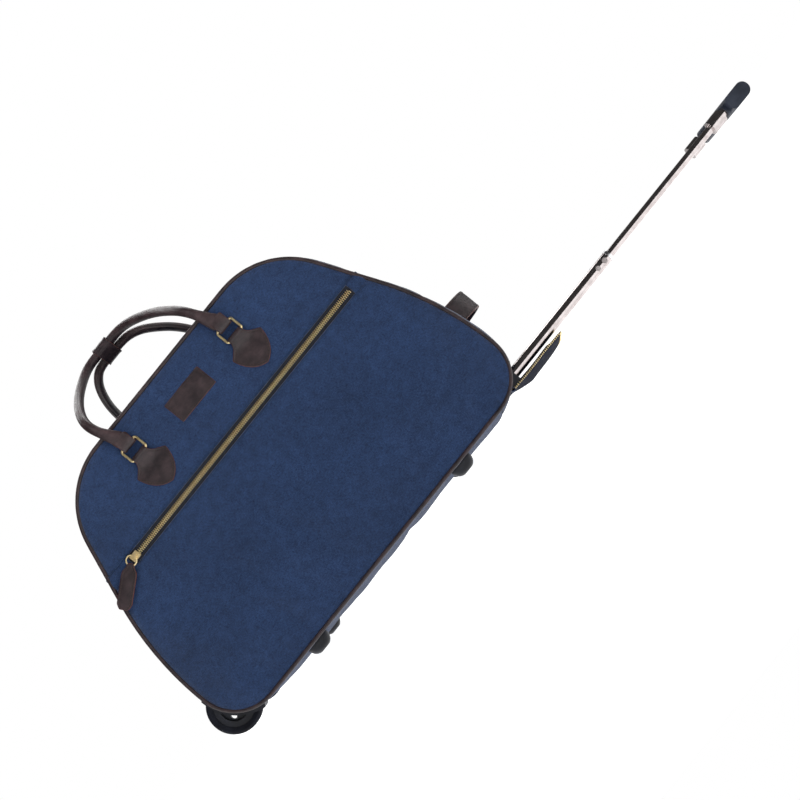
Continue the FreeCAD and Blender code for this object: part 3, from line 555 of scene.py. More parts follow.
def build_shell():
    """The canvas of the whole bag as one mesh, before it is filled, and its room at each point."""
    bm = cloth_mesh()
    room_of = {}

    def note(made, room):
        for row, row_room in zip(made, room):
            for vert, value in zip(row, row_room):
                room_of[vert] = min(value, room_of.get(vert, 99))

    for grid, tag, side in ((panel_grid(AT_HIGH_WELT, AT_SHOULDER, False, True), FRONT_UPPER, -1),
                            (panel_grid(AT_FOOT, AT_LOW_WELT, True, False), FRONT_LOWER, -1),
                            (panel_grid(AT_FOOT, AT_SHOULDER, True, True), BACK, 1)):
        rows, room = [], []
        for i in range(len(grid)):
            row, row_room = [], []
            for j in range(len(grid[0])):
                x, z = grid[i, j]
                inner = max(0, inside_edge(x, z) - SEAM_INSET)
                row.append((x, side * (SEAM_Y + PIPING_RADIUS * rise(inner)), z))
                pinned = inner < 0.5 or (side < 0 and abs(abs(z - ZIP_HEIGHT) - WELT_HALF) < 0.5)
                row_room.append(0 if pinned else panel_room(x, z, side < 0))
            rows.append(row)
            room.append(row_room)
        note(sheet_grid(bm, rows, lambda i, j, g=grid: g[i, j], tag), room)

    lengths = [*RIGHT, *(2 * HALF_RUN - LEFT[::-1])]
    rows, room = [], []
    for run in LOOP:
        row, row_room = [], []
        for y in COLUMNS:
            x, z, _, _ = edge(run, SEAM_INSET * (1 - rise(SEAM_Y - abs(y))))
            row.append((x, y, z))
            fixed = SEAM_Y - abs(y) < 0.5 or (z > SEAM_HEIGHT and abs(y) < MAIN_WELT_HALF + 0.5)
            row_room.append(0 if fixed else gusset_room(run, y))
        rows.append(row)
        room.append(row_room)

    def tag(r, c):
        run, y = (LOOP[r] + LOOP[r + 1]) / 2, (COLUMNS[c] + COLUMNS[c + 1]) / 2
        if r == len(RIGHT) - 1:
            return None
        if abs(run) < HALF_BASE:
            return BASE
        if run < 0 and WELL_RUNS[0] < -run < WELL_RUNS[1] and WELL_SPAN[0] < abs(y) < WELL_SPAN[1]:
            return None
        if run > 0 and EXIT_RUNS[0] < run < EXIT_RUNS[1] and exit_low.y < y < exit_high.y:
            return None
        if abs(run) < SEAM_RUN:
            return WHEEL_END if run < 0 else HANDLE_END
        if abs(y) < MAIN_WELT_HALF:
            return None
        return TOP_FRONT if y < 0 else TOP_BACK

    note(sheet_grid(bm, rows, lambda i, j: (lengths[i], COLUMNS[j] + 400), tag), room)
    layer, part = bm.loops.layers.uv["cloth"], bm.faces.layers.int["part"]
    for loop in (loop for face in bm.faces if face[part] == BASE for loop in face.loops):
        if loop[layer].uv.x > HALF_RUN * MM:
            loop[layer].uv.x -= 2 * HALF_RUN * MM
    bmesh.ops.delete(bm, geom=[v for v in bm.verts if not v.link_faces], context="VERTS")
    bmesh.ops.remove_doubles(bm, verts=bm.verts, dist=0.1 * MM)
    bmesh.ops.recalc_face_normals(bm, faces=bm.faces)
    bm.verts.index_update()
    room = np.array([room_of.get(v, 0) for v in bm.verts])
    return bm, room


def relaxed(values, edges, fixed, rounds):
    """Values smoothed over the mesh by averaging each point with its neighbours."""
    values = values.copy()
    count = np.zeros(len(values))
    np.add.at(count, edges.ravel(), 1)
    for _ in range(rounds):
        total = np.zeros(len(values))
        np.add.at(total, edges[:, 0], values[edges[:, 1]])
        np.add.at(total, edges[:, 1], values[edges[:, 0]])
        mean = total / np.maximum(count, 1)
        values = np.where(fixed, values, 0.4 * values + 0.6 * mean)
    return values


SIMULATED_FRAMES = 20


def simulate(mesh, pinned):
    """The mesh blown up a little by cloth simulation; returns where its points go."""
    scene = bpy.context.scene
    item = bpy.data.objects.new("filling", mesh)
    scene.collection.objects.link(item)
    group = item.vertex_groups.new(name="pinned")
    group.add([i for i, held in enumerate(pinned) if held], 1.0, "REPLACE")
    cloth = item.modifiers.new("cloth", "CLOTH")
    settings = cloth.settings
    settings.quality = 6
    settings.mass = 0.25
    settings.tension_stiffness = settings.compression_stiffness = 18
    settings.shear_stiffness = 8
    settings.bending_stiffness = 1.2
    settings.vertex_group_mass = "pinned"
    settings.use_pressure = True
    settings.uniform_pressure_force = 4
    settings.shrink_min = -0.022
    settings.effector_weights.gravity = 0
    for number in range(1, SIMULATED_FRAMES + 1):
        scene.frame_set(number)
    shown = item.evaluated_get(bpy.context.evaluated_depsgraph_get()).to_mesh()
    points = np.zeros(len(shown.vertices) * 3)
    shown.vertices.foreach_get("co", points)
    bpy.data.objects.remove(item)
    scene.frame_set(1)
    return points.reshape(-1, 3)


def filled_shell():
    """The shell after filling: bulges follow the room at each point, folds follow the cloth."""
    bm, room = build_shell()
    mesh = bpy.data.meshes.new("shell")
    bm.to_mesh(mesh)
    count = len(mesh.vertices)
    rest, normals = np.zeros(count * 3), np.zeros(count * 3)
    mesh.vertices.foreach_get("co", rest)
    mesh.vertices.foreach_get("normal", normals)
    rest, normals = rest.reshape(-1, 3), normals.reshape(-1, 3)
    edges = np.array([e.vertices[:] for e in mesh.edges])
    pinned = room <= 0.01
    moved = ((simulate(mesh, pinned) - rest) * normals).sum(1) / MM
    broad = relaxed(moved, edges, pinned, 30)
    folds = np.clip(moved - broad, -2.6, 2.6) * np.clip(room / 2.5, 0.1, 1.0)
    limit = np.maximum(room, 0.01)
    out = limit * np.tanh(broad / limit) + folds
    out = np.clip(out, -2.2, room + 1.5)
    out = relaxed(np.where(pinned, 0, out), edges, pinned, 2)
    for vert, point, normal, amount in zip(bm.verts, rest, normals, out):
        vert.co = Vector(point) + Vector(normal) * amount * MM
    flat_area = {}
    for face in mesh.polygons:
        number = mesh.attributes["part"].data[face.index].value
        flat_area[number] = flat_area.get(number, 0) + face.area
    return bm, flat_area


def shell_piece(bm, number, name, node):
    """One cut piece of the canvas, with its thickness."""
    part = bm.copy()
    layer = part.faces.layers.int["part"]
    bmesh.ops.delete(part, geom=[f for f in part.faces if f[layer] != number], context="FACES")
    item = piece(name, mesh_of(part, name), canvas, "bag", node, slot="canvas")
    thickened(item, CANVAS_SHEET)


shell, flat_areas = filled_shell()
SHELL_NODES = ("front_upper_panel", "front_lower_panel", "back_panel", "top_gusset_front",
               "top_gusset_back", "wheel_end_gusset", "handle_end_gusset", "base_panel")
for number, (part, node) in enumerate(zip(PARTS, SHELL_NODES)):
    shell_piece(shell, number, f"canvas_{part}", node)

# ------------------------------------------------------------------ building blocks of the trimmings


def tube(bm, rings, closed=False, material_of=None):
    """Quads between rings of points; material_of gives a side's finish by its place in the ring."""
    made = [[bm.verts.new(at(*p)) for p in ring] for ring in rings]
    size = len(rings[0])
    for i in range(len(made) if closed else len(made) - 1):
        a, b = made[i], made[(i + 1) % len(made)]
        for j in range(size):
            face = bm.faces.new([a[j], a[(j + 1) % size], b[(j + 1) % size], b[j]])
            if material_of:
                face.material_index = material_of(j)
    if not closed:
        bm.faces.new(made[0])
        bm.faces.new(made[-1][::-1])
    return made


def frames_along(path, up):
    """(point, side, up) at each point of a path, with the side square to it and to a given up."""
    path = [Vector(p) for p in path]
    out = []
    for i, p in enumerate(path):
        before, after = neighbours(path, i)
        along = (after - before).normalized()
        side = along.cross(Vector(up)).normalized()
        out.append((p, side, side.cross(along).normalized()))
    return out


def smooth_path(points, count):
    """Evenly spaced points of a smooth curve that rounds the corners of a route."""
    pts = [Vector(p) for p in points]
    dense = [pts[0]]
    for a, b, c in zip(pts, pts[1:], pts[2:]):
        first, last = (a + b) / 2, (b + c) / 2
        for t in np.linspace(0, 1, 24, endpoint=False):
            dense.append((1 - t) ** 2 * first + 2 * t * (1 - t) * b + t ** 2 * last)
    dense.append(pts[-1])
    table = np.array(dense)
    lengths = running(table)
    places = np.linspace(0, lengths[-1], count)
    return [between(s, lengths, table) for s in places]


THREAD = 0.42
STITCH_SHAPE = ((0, -0.3, 0.5), (0.18, 0.45, 1), (0.5, 0.75, 1.1), (0.82, 0.45, 1), (1, -0.3, 0.5))


def stitches(bm, path, normals, pitch=4.2, length=3.1, radius=THREAD):
    """Thread segments along a path that lies on a surface, each sunk at its ends."""
    table = np.array([tuple(p) for p in path])
    ups = np.array([tuple(n) for n in normals])
    lengths = running(table)
    for start in np.arange(pitch / 2, lengths[-1] - length, pitch):
        rings = []
        for share, lift, size in STITCH_SHAPE:
            s = start + share * length
            p, q = between(s, lengths, table), between(s + 0.2, lengths, table)
            up = between(s, lengths, ups).normalized()
            side = (q - p).cross(up).normalized()
            rings.append([p + up * lift * radius + (side * math.cos(a) + up * math.sin(a)) * radius * size
                          for a in (k * math.tau / 5 for k in range(5))])
        tube(bm, rings)


def mitred(corners, inset):
    """An anticlockwise polygon moved inwards, each corner kept on its mitre."""
    out, count = [], len(corners)
    for i in range(count):
        a, p, b = (np.array(corners[k % count], float) for k in (i - 1, i, i + 1))
        into, away = (p - a) / np.linalg.norm(p - a), (b - p) / np.linalg.norm(b - p)
        one, two = np.array([-into[1], into[0]]), np.array([-away[1], away[0]])
        middle = (one + two) / max(0.3, np.linalg.norm(one + two))
        out.append(p + middle * inset / max(0.35, float(middle @ one)))
    return out


def outline_ring(corners, radius, inset, split=4):
    """A polygon with rounded corners, moved inwards; the number of points stays the same."""
    moved, out, count = mitred(corners, inset), [], len(corners)
    bend = max(0.5, radius - inset)
    for i in range(count):
        a, p, b = (moved[k % count] for k in (i - 1, i, i + 1))
        back, ahead = a - p, b - p
        reach_back, reach_ahead = (min(bend / np.linalg.norm(side), 0.45) for side in (back, ahead))
        first, last = p + back * reach_back, p + ahead * reach_ahead
        for t in (0, 0.5, 1):
            out.append((1 - t) ** 2 * first + 2 * t * (1 - t) * p + t ** 2 * last)
        after = b - ahead * min(bend / np.linalg.norm(ahead), 0.45)
        for t in np.arange(1, split) / split:
            out.append(last + (after - last) * t)
    return out


HIDE_PROFILE = ((0.0, 0.0), (-0.15, 0.55), (0.25, 0.9), (1.0, 1.0), (1.7, 0.97), (2.3, 0.86), (2.9, 0.98),
                (3.8, 1.0))


def hide(bm, corners, radius, thickness, place, crown=0.35, split=4):
    """A cut piece of leather: raw edge, pressed stitch line near it, slightly crowned middle."""
    made = []
    for inset, height in HIDE_PROFILE:
        ring = outline_ring(corners, radius, inset, split)
        made.append([bm.verts.new(at(*place(*p, height * thickness))) for p in ring])
    inner = outline_ring(corners, radius, HIDE_PROFILE[-1][0], split)
    middle = np.mean(inner, axis=0)
    for share, lift in ((0.66, 0.6), (0.33, 0.9)):
        made.append([bm.verts.new(at(*place(*(middle + (p - middle) * share), thickness + crown * lift)))
                     for p in inner])
    size = len(inner)
    for i, (low, high) in enumerate(zip(made, made[1:])):
        for j in range(size):
            face = bm.faces.new([low[j], low[(j + 1) % size], high[(j + 1) % size], high[j]])
            face.material_index = 1 if i < 2 else 0
    top = bm.verts.new(at(*place(*middle, thickness + crown)))
    for j in range(size):
        bm.faces.new([made[-1][j], made[-1][(j + 1) % size], top])
    bm.faces.new(made[0][::-1])


def stitch_outline(bm, corners, bend, inset, height, place, **sizes):
    """Stitches all round a cut piece, so far inside its edge."""
    line = outline_ring(corners, bend, inset)
    path = [Vector(place(*p, height)) for p in [*line, line[0]]]
    up = Vector(place(0, 0, 1)) - Vector(place(0, 0, 0))
    stitches(bm, path, [up] * len(path), **sizes)


def finished(bm, name, made, body, *nodes, slot=None):
    """Closes a mesh built piece by piece: normals outwards, object on its body."""
    bmesh.ops.recalc_face_normals(bm, faces=bm.faces)
    return piece(name, mesh_of(bm, name), made, body, *nodes, slot=slot)


def front(x, z, height):
    """Height above the front panel."""
    return (x, -HALF_DEPTH - height, z)


def back(x, z, height):
    return (x, HALF_DEPTH + height, z)


# ------------------------------------------------------------------ piping


def piping(name, side, node):
    """Leather cord in the seam between a panel and the band round the bag."""
    random.seed(5)
    bm = bmesh.new()
    radius = PIPING_RADIUS + 0.35
    rings = []
    for run in [r for r in LOOP if r != -HALF_RUN and not (r == 0 and math.copysign(1, r) < 0)]:
        x, z, nx, nz = edge(run, SEAM_INSET - 0.3)
        swell = radius * (1 + 0.03 * math.sin(run * 0.37) + random.uniform(-0.012, 0.012))
        rings.append([(x + nx * swell * math.cos(a), side * (SEAM_Y + 0.35 + swell * math.sin(a)),
                       z + nz * swell * math.cos(a)) for a in (k * math.tau / 12 for k in range(12))])
    tube(bm, rings, closed=True)
    item = finished(bm, name, dark_piping, "bag", node, slot="piping")
    modifier(item, "SUBSURF", levels=1, render_levels=1)
    return item


# ------------------------------------------------------------------ zips

TOOTH = ((-0.44, 2.9), (0.44, 2.9), (0.48, 1.5), (0.3, 0.9), (0.6, 0.25), (0.42, -0.3), (-0.42, -0.3),
         (-0.6, 0.25), (-0.3, 0.9), (-0.48, 1.5))
TOOTH_RINGS = ((0.0, 1.0), (1.5, 1.0), (2.0, 0.9), (2.35, 0.62))
TOOTH_PITCH = 2.5


def teeth(bm, length, place):
    """Both rows of teeth along a zip; place(along, across, height) gives a point of the bag."""
    for row, side in enumerate((1, -1)):
        for start in np.arange(TOOTH_PITCH / 2 + row * TOOTH_PITCH / 2, length - 1, TOOTH_PITCH):
            tube(bm, [[place(start + a * size, side * (1.2 + (b - 1.2) * size), height) for a, b in TOOTH]
                      for height, size in TOOTH_RINGS])


TAPE_PROFILE = ((-9.5, 0.0), (-6.0, 0.05), (-4.4, 0.1), (-3.9, 0.55), (-3.1, 0.6), (-2.6, 0.1), (-0.4, 0.0))


def tapes(name, length, place, node):
    """The two woven tapes of a zip, each with the cord that its teeth are clamped on."""
    bm = cloth_mesh()
    steps = np.linspace(0, length, max(8, int(length / 7)))
    for side in (1, -1):
        rows = [[place(s, side * across, height) for across, height in TAPE_PROFILE] for s in steps]
        sheet_grid(bm, rows, lambda i, j: (steps[i], TAPE_PROFILE[j][0]), 0)
    item = finished(bm, name, tape_cloth, "bag", node, slot="zip_tape")
    modifier(item, "SOLIDIFY", thickness=0.55 * MM, offset=-1)


FRONT_ZIP = (-186, 203)


def front_zip_place(along, across, height):
    return (FRONT_ZIP[0] + along, -HALF_DEPTH + 0.6 - height, ZIP_HEIGHT + across)


def front_tape_place(along, across, height):
    low = -half_width(ZIP_HEIGHT) + 4
    return (low + along, -HALF_DEPTH + 1.1 - height, ZIP_HEIGHT + across)


MAIN_ZIP_END = run_at_height(SEAM_HEIGHT) + 3


def over_top(run):
    """A run that goes on past the middle of the top, counted from the wheel side."""
    return run - 2 * HALF_RUN if run > HALF_RUN else run


def main_zip_place(along, across, height):
    x, z, nx, nz = edge(over_top(MAIN_ZIP_END + along), 2.5)
    return (x + nx * height, across, z + nz * height)


def end_patch(bm, start, end):
    """Canvas that closes the slot of the front zip between its end and the seam."""
    steps = np.linspace(start, end, 9)
    half = ((3, 0.55), (WELT_HALF + 0.6, 0.1), (9.5, -1.2))
    profile = (*((-across, height) for across, height in reversed(half)), (0, 0.7), *half)
    rows = [[(x, -HALF_DEPTH + 0.4 - height * min(1, 0.3 + abs(x - start) / 2.5), ZIP_HEIGHT + across)
             for across, height in profile] for x in steps]
    sheet_grid(bm, rows, lambda i, j: (rows[i][j][0], rows[i][j][2]), 0)


def build_zips():
    """Front pocket zip and main zip: tapes, teeth, end patches and the rows of stitching beside them."""
    width = 2 * half_width(ZIP_HEIGHT) - 8
    tapes("front_zip_tape_cloth", width, front_tape_place, "front_zip_tapes")
    bm = bmesh.new()
    teeth(bm, FRONT_ZIP[1] - FRONT_ZIP[0], front_zip_place)
    finished(bm, "front_zip_brass", brass_teeth, "bag", "front_zip_teeth", slot="brass")

    length = 2 * (HALF_RUN - MAIN_ZIP_END)
    tapes("main_zip_tape_cloth", length, lambda s, a, h: main_zip_place(s, a, h - 0.4), "main_zip_tapes")
    bm = bmesh.new()
    teeth(bm, length, main_zip_place)
    finished(bm, "main_zip_brass", brass_teeth, "bag", "main_zip_teeth", slot="brass")

    bm = cloth_mesh()
    reach = half_width(ZIP_HEIGHT) - 1.5
    end_patch(bm, FRONT_ZIP[1] + 1, reach)
    end_patch(bm, FRONT_ZIP[0] - 2, -reach)
    item = finished(bm, "zip_end_patches", canvas, "bag", slot="canvas")
    thickened(item, 1.2)

    bm = bmesh.new()
    reach = half_width(ZIP_HEIGHT) - 4
    for z in (ZIP_HEIGHT - WELT_HALF - 2.6, ZIP_HEIGHT + WELT_HALF + 2.2):
        path = [Vector((x, -HALF_DEPTH - 0.15, z)) for x in np.linspace(-reach, reach, 60)]
        stitches(bm, path, [Vector((0, -1, 0))] * 60)
    for side in (-1, 1):
        runs = np.linspace(MAIN_ZIP_END, 2 * HALF_RUN - MAIN_ZIP_END, 150)
        points, normals = [], []
        for run in runs:
            x, z, nx, nz = edge(over_top(run), -0.2)
            points.append(Vector((x, side * (MAIN_WELT_HALF + 2.6), z)))
            normals.append(Vector((nx, 0, nz)))
        stitches(bm, points, normals)
    finished(bm, "canvas_stitching", thread_navy, "bag", slot="canvas")


# ------------------------------------------------------------------ handles, chapes and label

FRONT_ROUTE = ((79, 132, 314), (71, 132, 338), (62, 112, 359), (44, 62, 390.5), (20, 27, 414), (3, 12, 423.5),
               (-12, 6, 426.5), (-50, 6, 426.5), (-62, 11, 424), (-76, 26, 415), (-90, 56, 398),
               (-98, 92, 377), (-101, 122, 355), (-98, 132, 336), (-89, 132, 314))
BACK_ROUTE = ((79, 132, 314), (71, 132, 338), (64, 113, 359), (47, 63, 389), (21, 25, 409.5), (4, 10, 416),
              (-12, 3, 417.5), (-50, 3, 417.5), (-62, 8, 415), (-76, 23, 407), (-89, 54, 392), (-96, 90, 373),
              (-100, 122, 353.5), (-98, 132, 336), (-89, 132, 314))
ROLL = 5.75
LOOP_Y, LOOP_Z = 131.2, 307
SEWN_ABOVE = 330
RING_Y, RING_LOW = 130, 284


def handle_route(side):
    """The corners of one handle's middle line."""
    return [(x, side * y, z) for x, y, z in (FRONT_ROUTE if side < 0 else BACK_ROUTE)]


def roll_section(angle, wide, thick):
    """Radius of the rolled leather at an angle: a lap seam runs along the inside of the curve."""
    lap = 0.09 * math.exp(-((angle - 4.2) / 0.16) ** 2) - 0.07 * math.exp(-((angle - 4.75) / 0.1) ** 2)
    lap += 0.05 * math.exp(-((angle - 5.2) / 0.14) ** 2)
    return math.cos(angle) * wide * (1 + lap), math.sin(angle) * thick * (1 + lap)


def handle(name, side, body, node):
    """A rolled handle whose ends flatten into loops round the rings."""
    route = handle_route(side)
    last, first = RING_MIDDLES
    ends = [(first - 1.5, side * LOOP_Y, LOOP_Z), *route, (last - 1, side * LOOP_Y, LOOP_Z)]
    path = smooth_path(ends, 190)
    bm = bmesh.new()
    rings = []
    frames = frames_along(path, (0, side, 0.02))
    for p, across, out in frames:
        to_end = p.z - LOOP_Z
        flare = max(0.0, 1 - max(0.0, to_end - 4) / 26) ** 1.6 if abs(p.y) > 105 else 0.0
        wide, thick = ROLL + 3.9 * flare, ROLL - 1.4 * flare
        rings.append([p + across * u + out * v for u, v in
                      (roll_section(k * math.tau / 36, wide, thick) for k in range(36))])
    tube(bm, rings)
    for x in (first, last):
        band_loop(bm, x, side)
    item = finished(bm, name, [brown_handle, raw_edge], body, node, slot="leather")
    modifier(item, "SUBSURF", levels=1, render_levels=1)
    bm = bmesh.new()
    keep = [i for i, (p, _, _) in enumerate(frames) if p.z > SEWN_ABOVE]
    for angle in (4.45, 5.02):
        points, normals = [], []
        for i in keep:
            p, across, out = frames[i]
            u, v = roll_section(angle, ROLL, ROLL)
            way = across * u + out * v
            points.append(p + way)
            normals.append(way.normalized())
        stitches(bm, points, normals, 3.6, 2.6, 0.34)
    finished(bm, name + "_stitching", thread_brown, body, slot="leather")


LOOP_BAND = ((-1.0, 0.0), (-0.96, 0.9), (-0.85, 1.25), (-0.62, 1.1), (0.62, 1.1), (0.85, 1.25), (0.96, 0.9),
             (1.0, 0.0))


def band_loop(bm, x, side):
    """The doubled leather band that closes a handle's end round the ring's upper bar."""
    front_z, half = 314, 9.5
    path = [(4.6, front_z), (5.0, 311), (4.9, 307), (4.2, 303), (3.2, 299.4), (1.4, 297.4), (-0.8, 297.2),
            (-2.9, 298.9), (-3.9, 302), (-4.2, 307), (-4.2, 311), (-4.0, front_z)]
    rings = []
    for i, (v, z) in enumerate(path):
        (v0, z0), (v1, z1) = neighbours(path, i)
        along = Vector((v1 - v0, z1 - z0)).normalized()
        out = Vector((-along.y, along.x))
        ring = [(x + u * half, side * (RING_Y + v + out.x * t), z + out.y * t)
                for u, t in LOOP_BAND]
        ring += [(x + u * half * 0.97, side * (RING_Y + v - out.x * 0.9), z - out.y * 0.9)
                 for u, _ in reversed(LOOP_BAND[1:-1])]
        rings.append(ring)
    tube(bm, rings, material_of=lambda j: 1 if j in (0, 6) else 0)


WRAP_MIDDLE = -31
FRONT_AXIS, BACK_AXIS = (-6.0, 426.5), (3.0, 417.5)


def build_wrap():
    """The band that holds both handles together, with raised raw ends."""
    front_axis, back_axis = np.array(FRONT_AXIS), np.array(BACK_AXIS)
    bm = bmesh.new()
    stations = ((-11.6, 1.9), (-11.2, 2.6), (-10.0, 2.5), (-8.4, 2.1), (-5, 1.9), (0, 2.2), (5, 1.9),
                (8.4, 2.1), (10.0, 2.5), (11.2, 2.6), (11.6, 1.9), (11.2, 1.0), (9.8, 0.6), (0, 0.6),
                (-9.8, 0.6), (-11.2, 1.0))
    rings = []
    for along, extra in stations:
        ring = []
        for k in range(48):
            angle = k * math.tau / 48
            way = np.array([math.cos(angle), math.sin(angle)])
            middle = front_axis if way @ (front_axis - back_axis) > 0 else back_axis
            y, z = middle + way * (ROLL + extra + 0.12 * math.sin(5 * angle))
            ring.append((WRAP_MIDDLE + along + 0.4 * math.sin(2 * angle), y, z))
        rings.append(ring)
    made = tube(bm, rings, closed=True)
    ends = {v for i in (0, 1, 10, 9) for v in made[i]}
    for face in bm.faces:
        if sum(v in ends for v in face.verts) == 4:
            face.material_index = 1
    item = finished(bm, "handle_wrap_leather", [brown, raw_edge], "front_carry_handle", "handle_wrap",
                    slot="leather")
    modifier(item, "SUBSURF", levels=1, render_levels=1)


def chape_outline(middle):
    """The shield's outline, anticlockwise seen from the front."""
    tab, wide, low = 10.4, 24.8, 237.4

    def bow(a, b, c, count=7):
        a, b, c = (np.array(p, float) for p in (a, b, c))
        ctrl = 2 * b - (a + c) / 2
        return [tuple((1 - t) ** 2 * a + 2 * t * (1 - t) * ctrl + t ** 2 * c)
                for t in np.linspace(0, 1, count)]

    outline = bow((-wide, 268.5), (-16.4, 248), (0, low)) + bow((0, low), (16.4, 248), (wide, 268.5))[1:]
    outline += [(tab + 3, 276), (tab, 280.5), (tab, 285), (-tab, 285), (-tab, 280.5), (-tab - 3, 276)]
    return [(middle + x, z) for x, z in outline]


FOLD_SECTION = ((-9.6, 1.8), (-9.9, 3.0), (-9.3, 3.6), (0, 3.8), (9.3, 3.6), (9.9, 3.0), (9.6, 1.8), (0, 1.7))


def chape_lift(z):
    """The chape leaves the panel towards its fold."""
    share = min(1.0, max(0.0, (z - 269) / 15))
    return 6.0 * share * share * (3 - 2 * share)


def build_chapes():
    """Shield patches with their folds round the rings' lower bars, and their stitching."""
    bm, threads = bmesh.new(), bmesh.new()
    for side, place in ((-1, front), (1, back)):
        for middle in RING_MIDDLES:
            outline = chape_outline(middle)
            hide(bm, outline, 1.2, 2.2, lambda u, v, h, f=place: f(u, v, h - 0.2 + chape_lift(v)), 0.5, 2)
            stitch_outline(threads, outline, 1.2, 2.5, 1.85,
                           lambda u, v, h, f=place: f(u, v, h + chape_lift(v)),
                           pitch=3.4, length=2.5, radius=0.36)
            rings = []
            for angle in np.linspace(-1.2, 2.6, 11):
                rings.append([(middle + u, side * (RING_Y + radius * math.cos(angle)),
                               RING_LOW + radius * math.sin(angle)) for u, radius in FOLD_SECTION])
            tube(bm, rings, material_of=lambda j: 1 if j in (0, 5) else 0)
            tongue = [(middle - 9.4, 262), (middle + 9.4, 262), (middle + 9.4, 284.5), (middle - 9.4, 284.5)]
            hide(bm, tongue, 1, 1.6, place, 0.1)
    finished(bm, "chape_leather", [brown, raw_edge], "bag", "chapes", slot="leather")
    finished(threads, "chape_stitching", thread_brown, "bag", slot="leather")


def build_label():
    """The blank leather label with a pressed line inside its edge."""
    low, high = label_low, label_high
    corners = [(low.x, low.z), (high.x, low.z), (high.x, high.z), (low.x, high.z)]
    bm, threads = bmesh.new(), bmesh.new()
    hide(bm, corners, 1.3, 1.8, lambda u, v, h: front(u, v, h - 0.1), 0.2, 8)
    stitch_outline(threads, corners, 1.3, 2.4, 1.45, front, pitch=3.2, length=2.4, radius=0.32)
    finished(bm, "label_leather", [brown, raw_edge], "bag", "label_patch", slot="leather")
    finished(threads, "label_stitching", thread_brown, "bag", slot="leather")


# ------------------------------------------------------------------ pull tab, grab strap, hood and flap

PULL_RING = Vector((-186, -128.3, 217))
TAB_HANG = math.radians(30)


def tab_place(along, across, height):
    """A point of the pull tab: along it from the ring, across it, and its height towards the front."""
    direction = (-math.cos(TAB_HANG), -math.sin(TAB_HANG))
    return (PULL_RING.x + direction[0] * along - direction[1] * across, PULL_RING.y - height,
            PULL_RING.z + direction[1] * along + direction[0] * across)


def build_pull_tab():
    """The leather puller: two layers sewn together, narrow where the ring passes through."""
    half = 8.5
    edge_down = [(56, half - 3.5), (50, half), (18, half), (13, half - 0.6), (8, 4.6), (3.4, 3.2)]
    shape = [(along, -across) for along, across in reversed(edge_down)] + edge_down
    bm, threads = bmesh.new(), bmesh.new()
    hide(bm, shape, 1.6, 1.6, tab_place, 0.25)
    hide(bm, shape, 1.6, 1.6, lambda u, v, h: tab_place(u, v, -h), 0.1)
    stitch_outline(threads, shape, 1.6, 2.4, 1.3, tab_place, pitch=3.0, length=2.2, radius=0.32)
    finished(bm, "pull_tab_leather", [brown, raw_edge], "pull_tab", "front_pull_tab", slot="leather")
    finished(threads, "pull_tab_stitching", thread_brown, "pull_tab", slot="leather")


def build_grab_strap():
    """A doubled leather strap that stands off the handle end in an arch and is sewn down at its feet."""
    near, reach = strap_low.x, strap_high.x
    arch_half, foot_half = 46, strap_high.y
    middle, half = (strap_low.z + strap_high.z) / 2, (strap_high.z - strap_low.z) / 2
    rise_by = reach - 2.3 - near
    radius = (arch_half ** 2 + rise_by ** 2) / (2 * rise_by)
    turn = math.asin(arch_half / radius)
    path = [(near + 1.6, -foot_half), (near + 1.6, -foot_half + 7), (near + 1.8, -arch_half - 4)]
    for angle in np.linspace(-turn, turn, 31)[1:-1]:
        path.append((near + rise_by - radius + radius * math.cos(angle), radius * math.sin(angle)))
    path += [(near + 1.8, arch_half + 4), (near + 1.6, foot_half - 7), (near + 1.6, foot_half)]
    face = ((0.74, 1.6), (0.8, 1.3), (0.86, 1.65), (0.95, 1.55), (0.985, 0.6), (1.0, -1.6))
    section = (*((-w, t) for w, t in reversed(face)), (0.0, 1.75), *face,
               (0.93, -2.1), (0.0, -2.2), (-0.93, -2.1))
    bm, threads = bmesh.new(), bmesh.new()
    rings, frames = [], []
    for i, (x, y) in enumerate(path):
        (x0, y0), (x1, y1) = neighbours(path, i)
        along = Vector((x1 - x0, y1 - y0, 0)).normalized()
        out = Vector((along.y, -along.x, 0))
        frames.append((Vector((x, y, middle)), out))
        rings.append([Vector((x, y, middle + w * half)) + out * t for w, t in section])
    tube(bm, rings, material_of=lambda j: 1 if j in (0, 1, 10, 11, 12) else 0)
    for w in (-0.8, 0.8):
        stitches(threads, [p + Vector((0, 0, w * half)) + out * 1.3 for p, out in frames],
                 [out for _, out in frames], 3.6, 2.7, 0.36)
    for y in (-foot_half + 2, -arch_half - 6, arch_half + 6, foot_half - 2):
        line = [Vector((near + 3.3, y, middle + w * half)) for w in np.linspace(-0.75, 0.75, 8)]
        stitches(threads, line, [Vector((1, 0, 0))] * 8, 3.4, 2.5, 0.36)
    item = finished(bm, "grab_strap_leather", [brown, raw_edge], "bag", "grab_strap", slot="leather")
    modifier(item, "SUBSURF", levels=1, render_levels=1)
    finished(threads, "grab_strap_stitching", thread_brown, "bag", slot="leather")


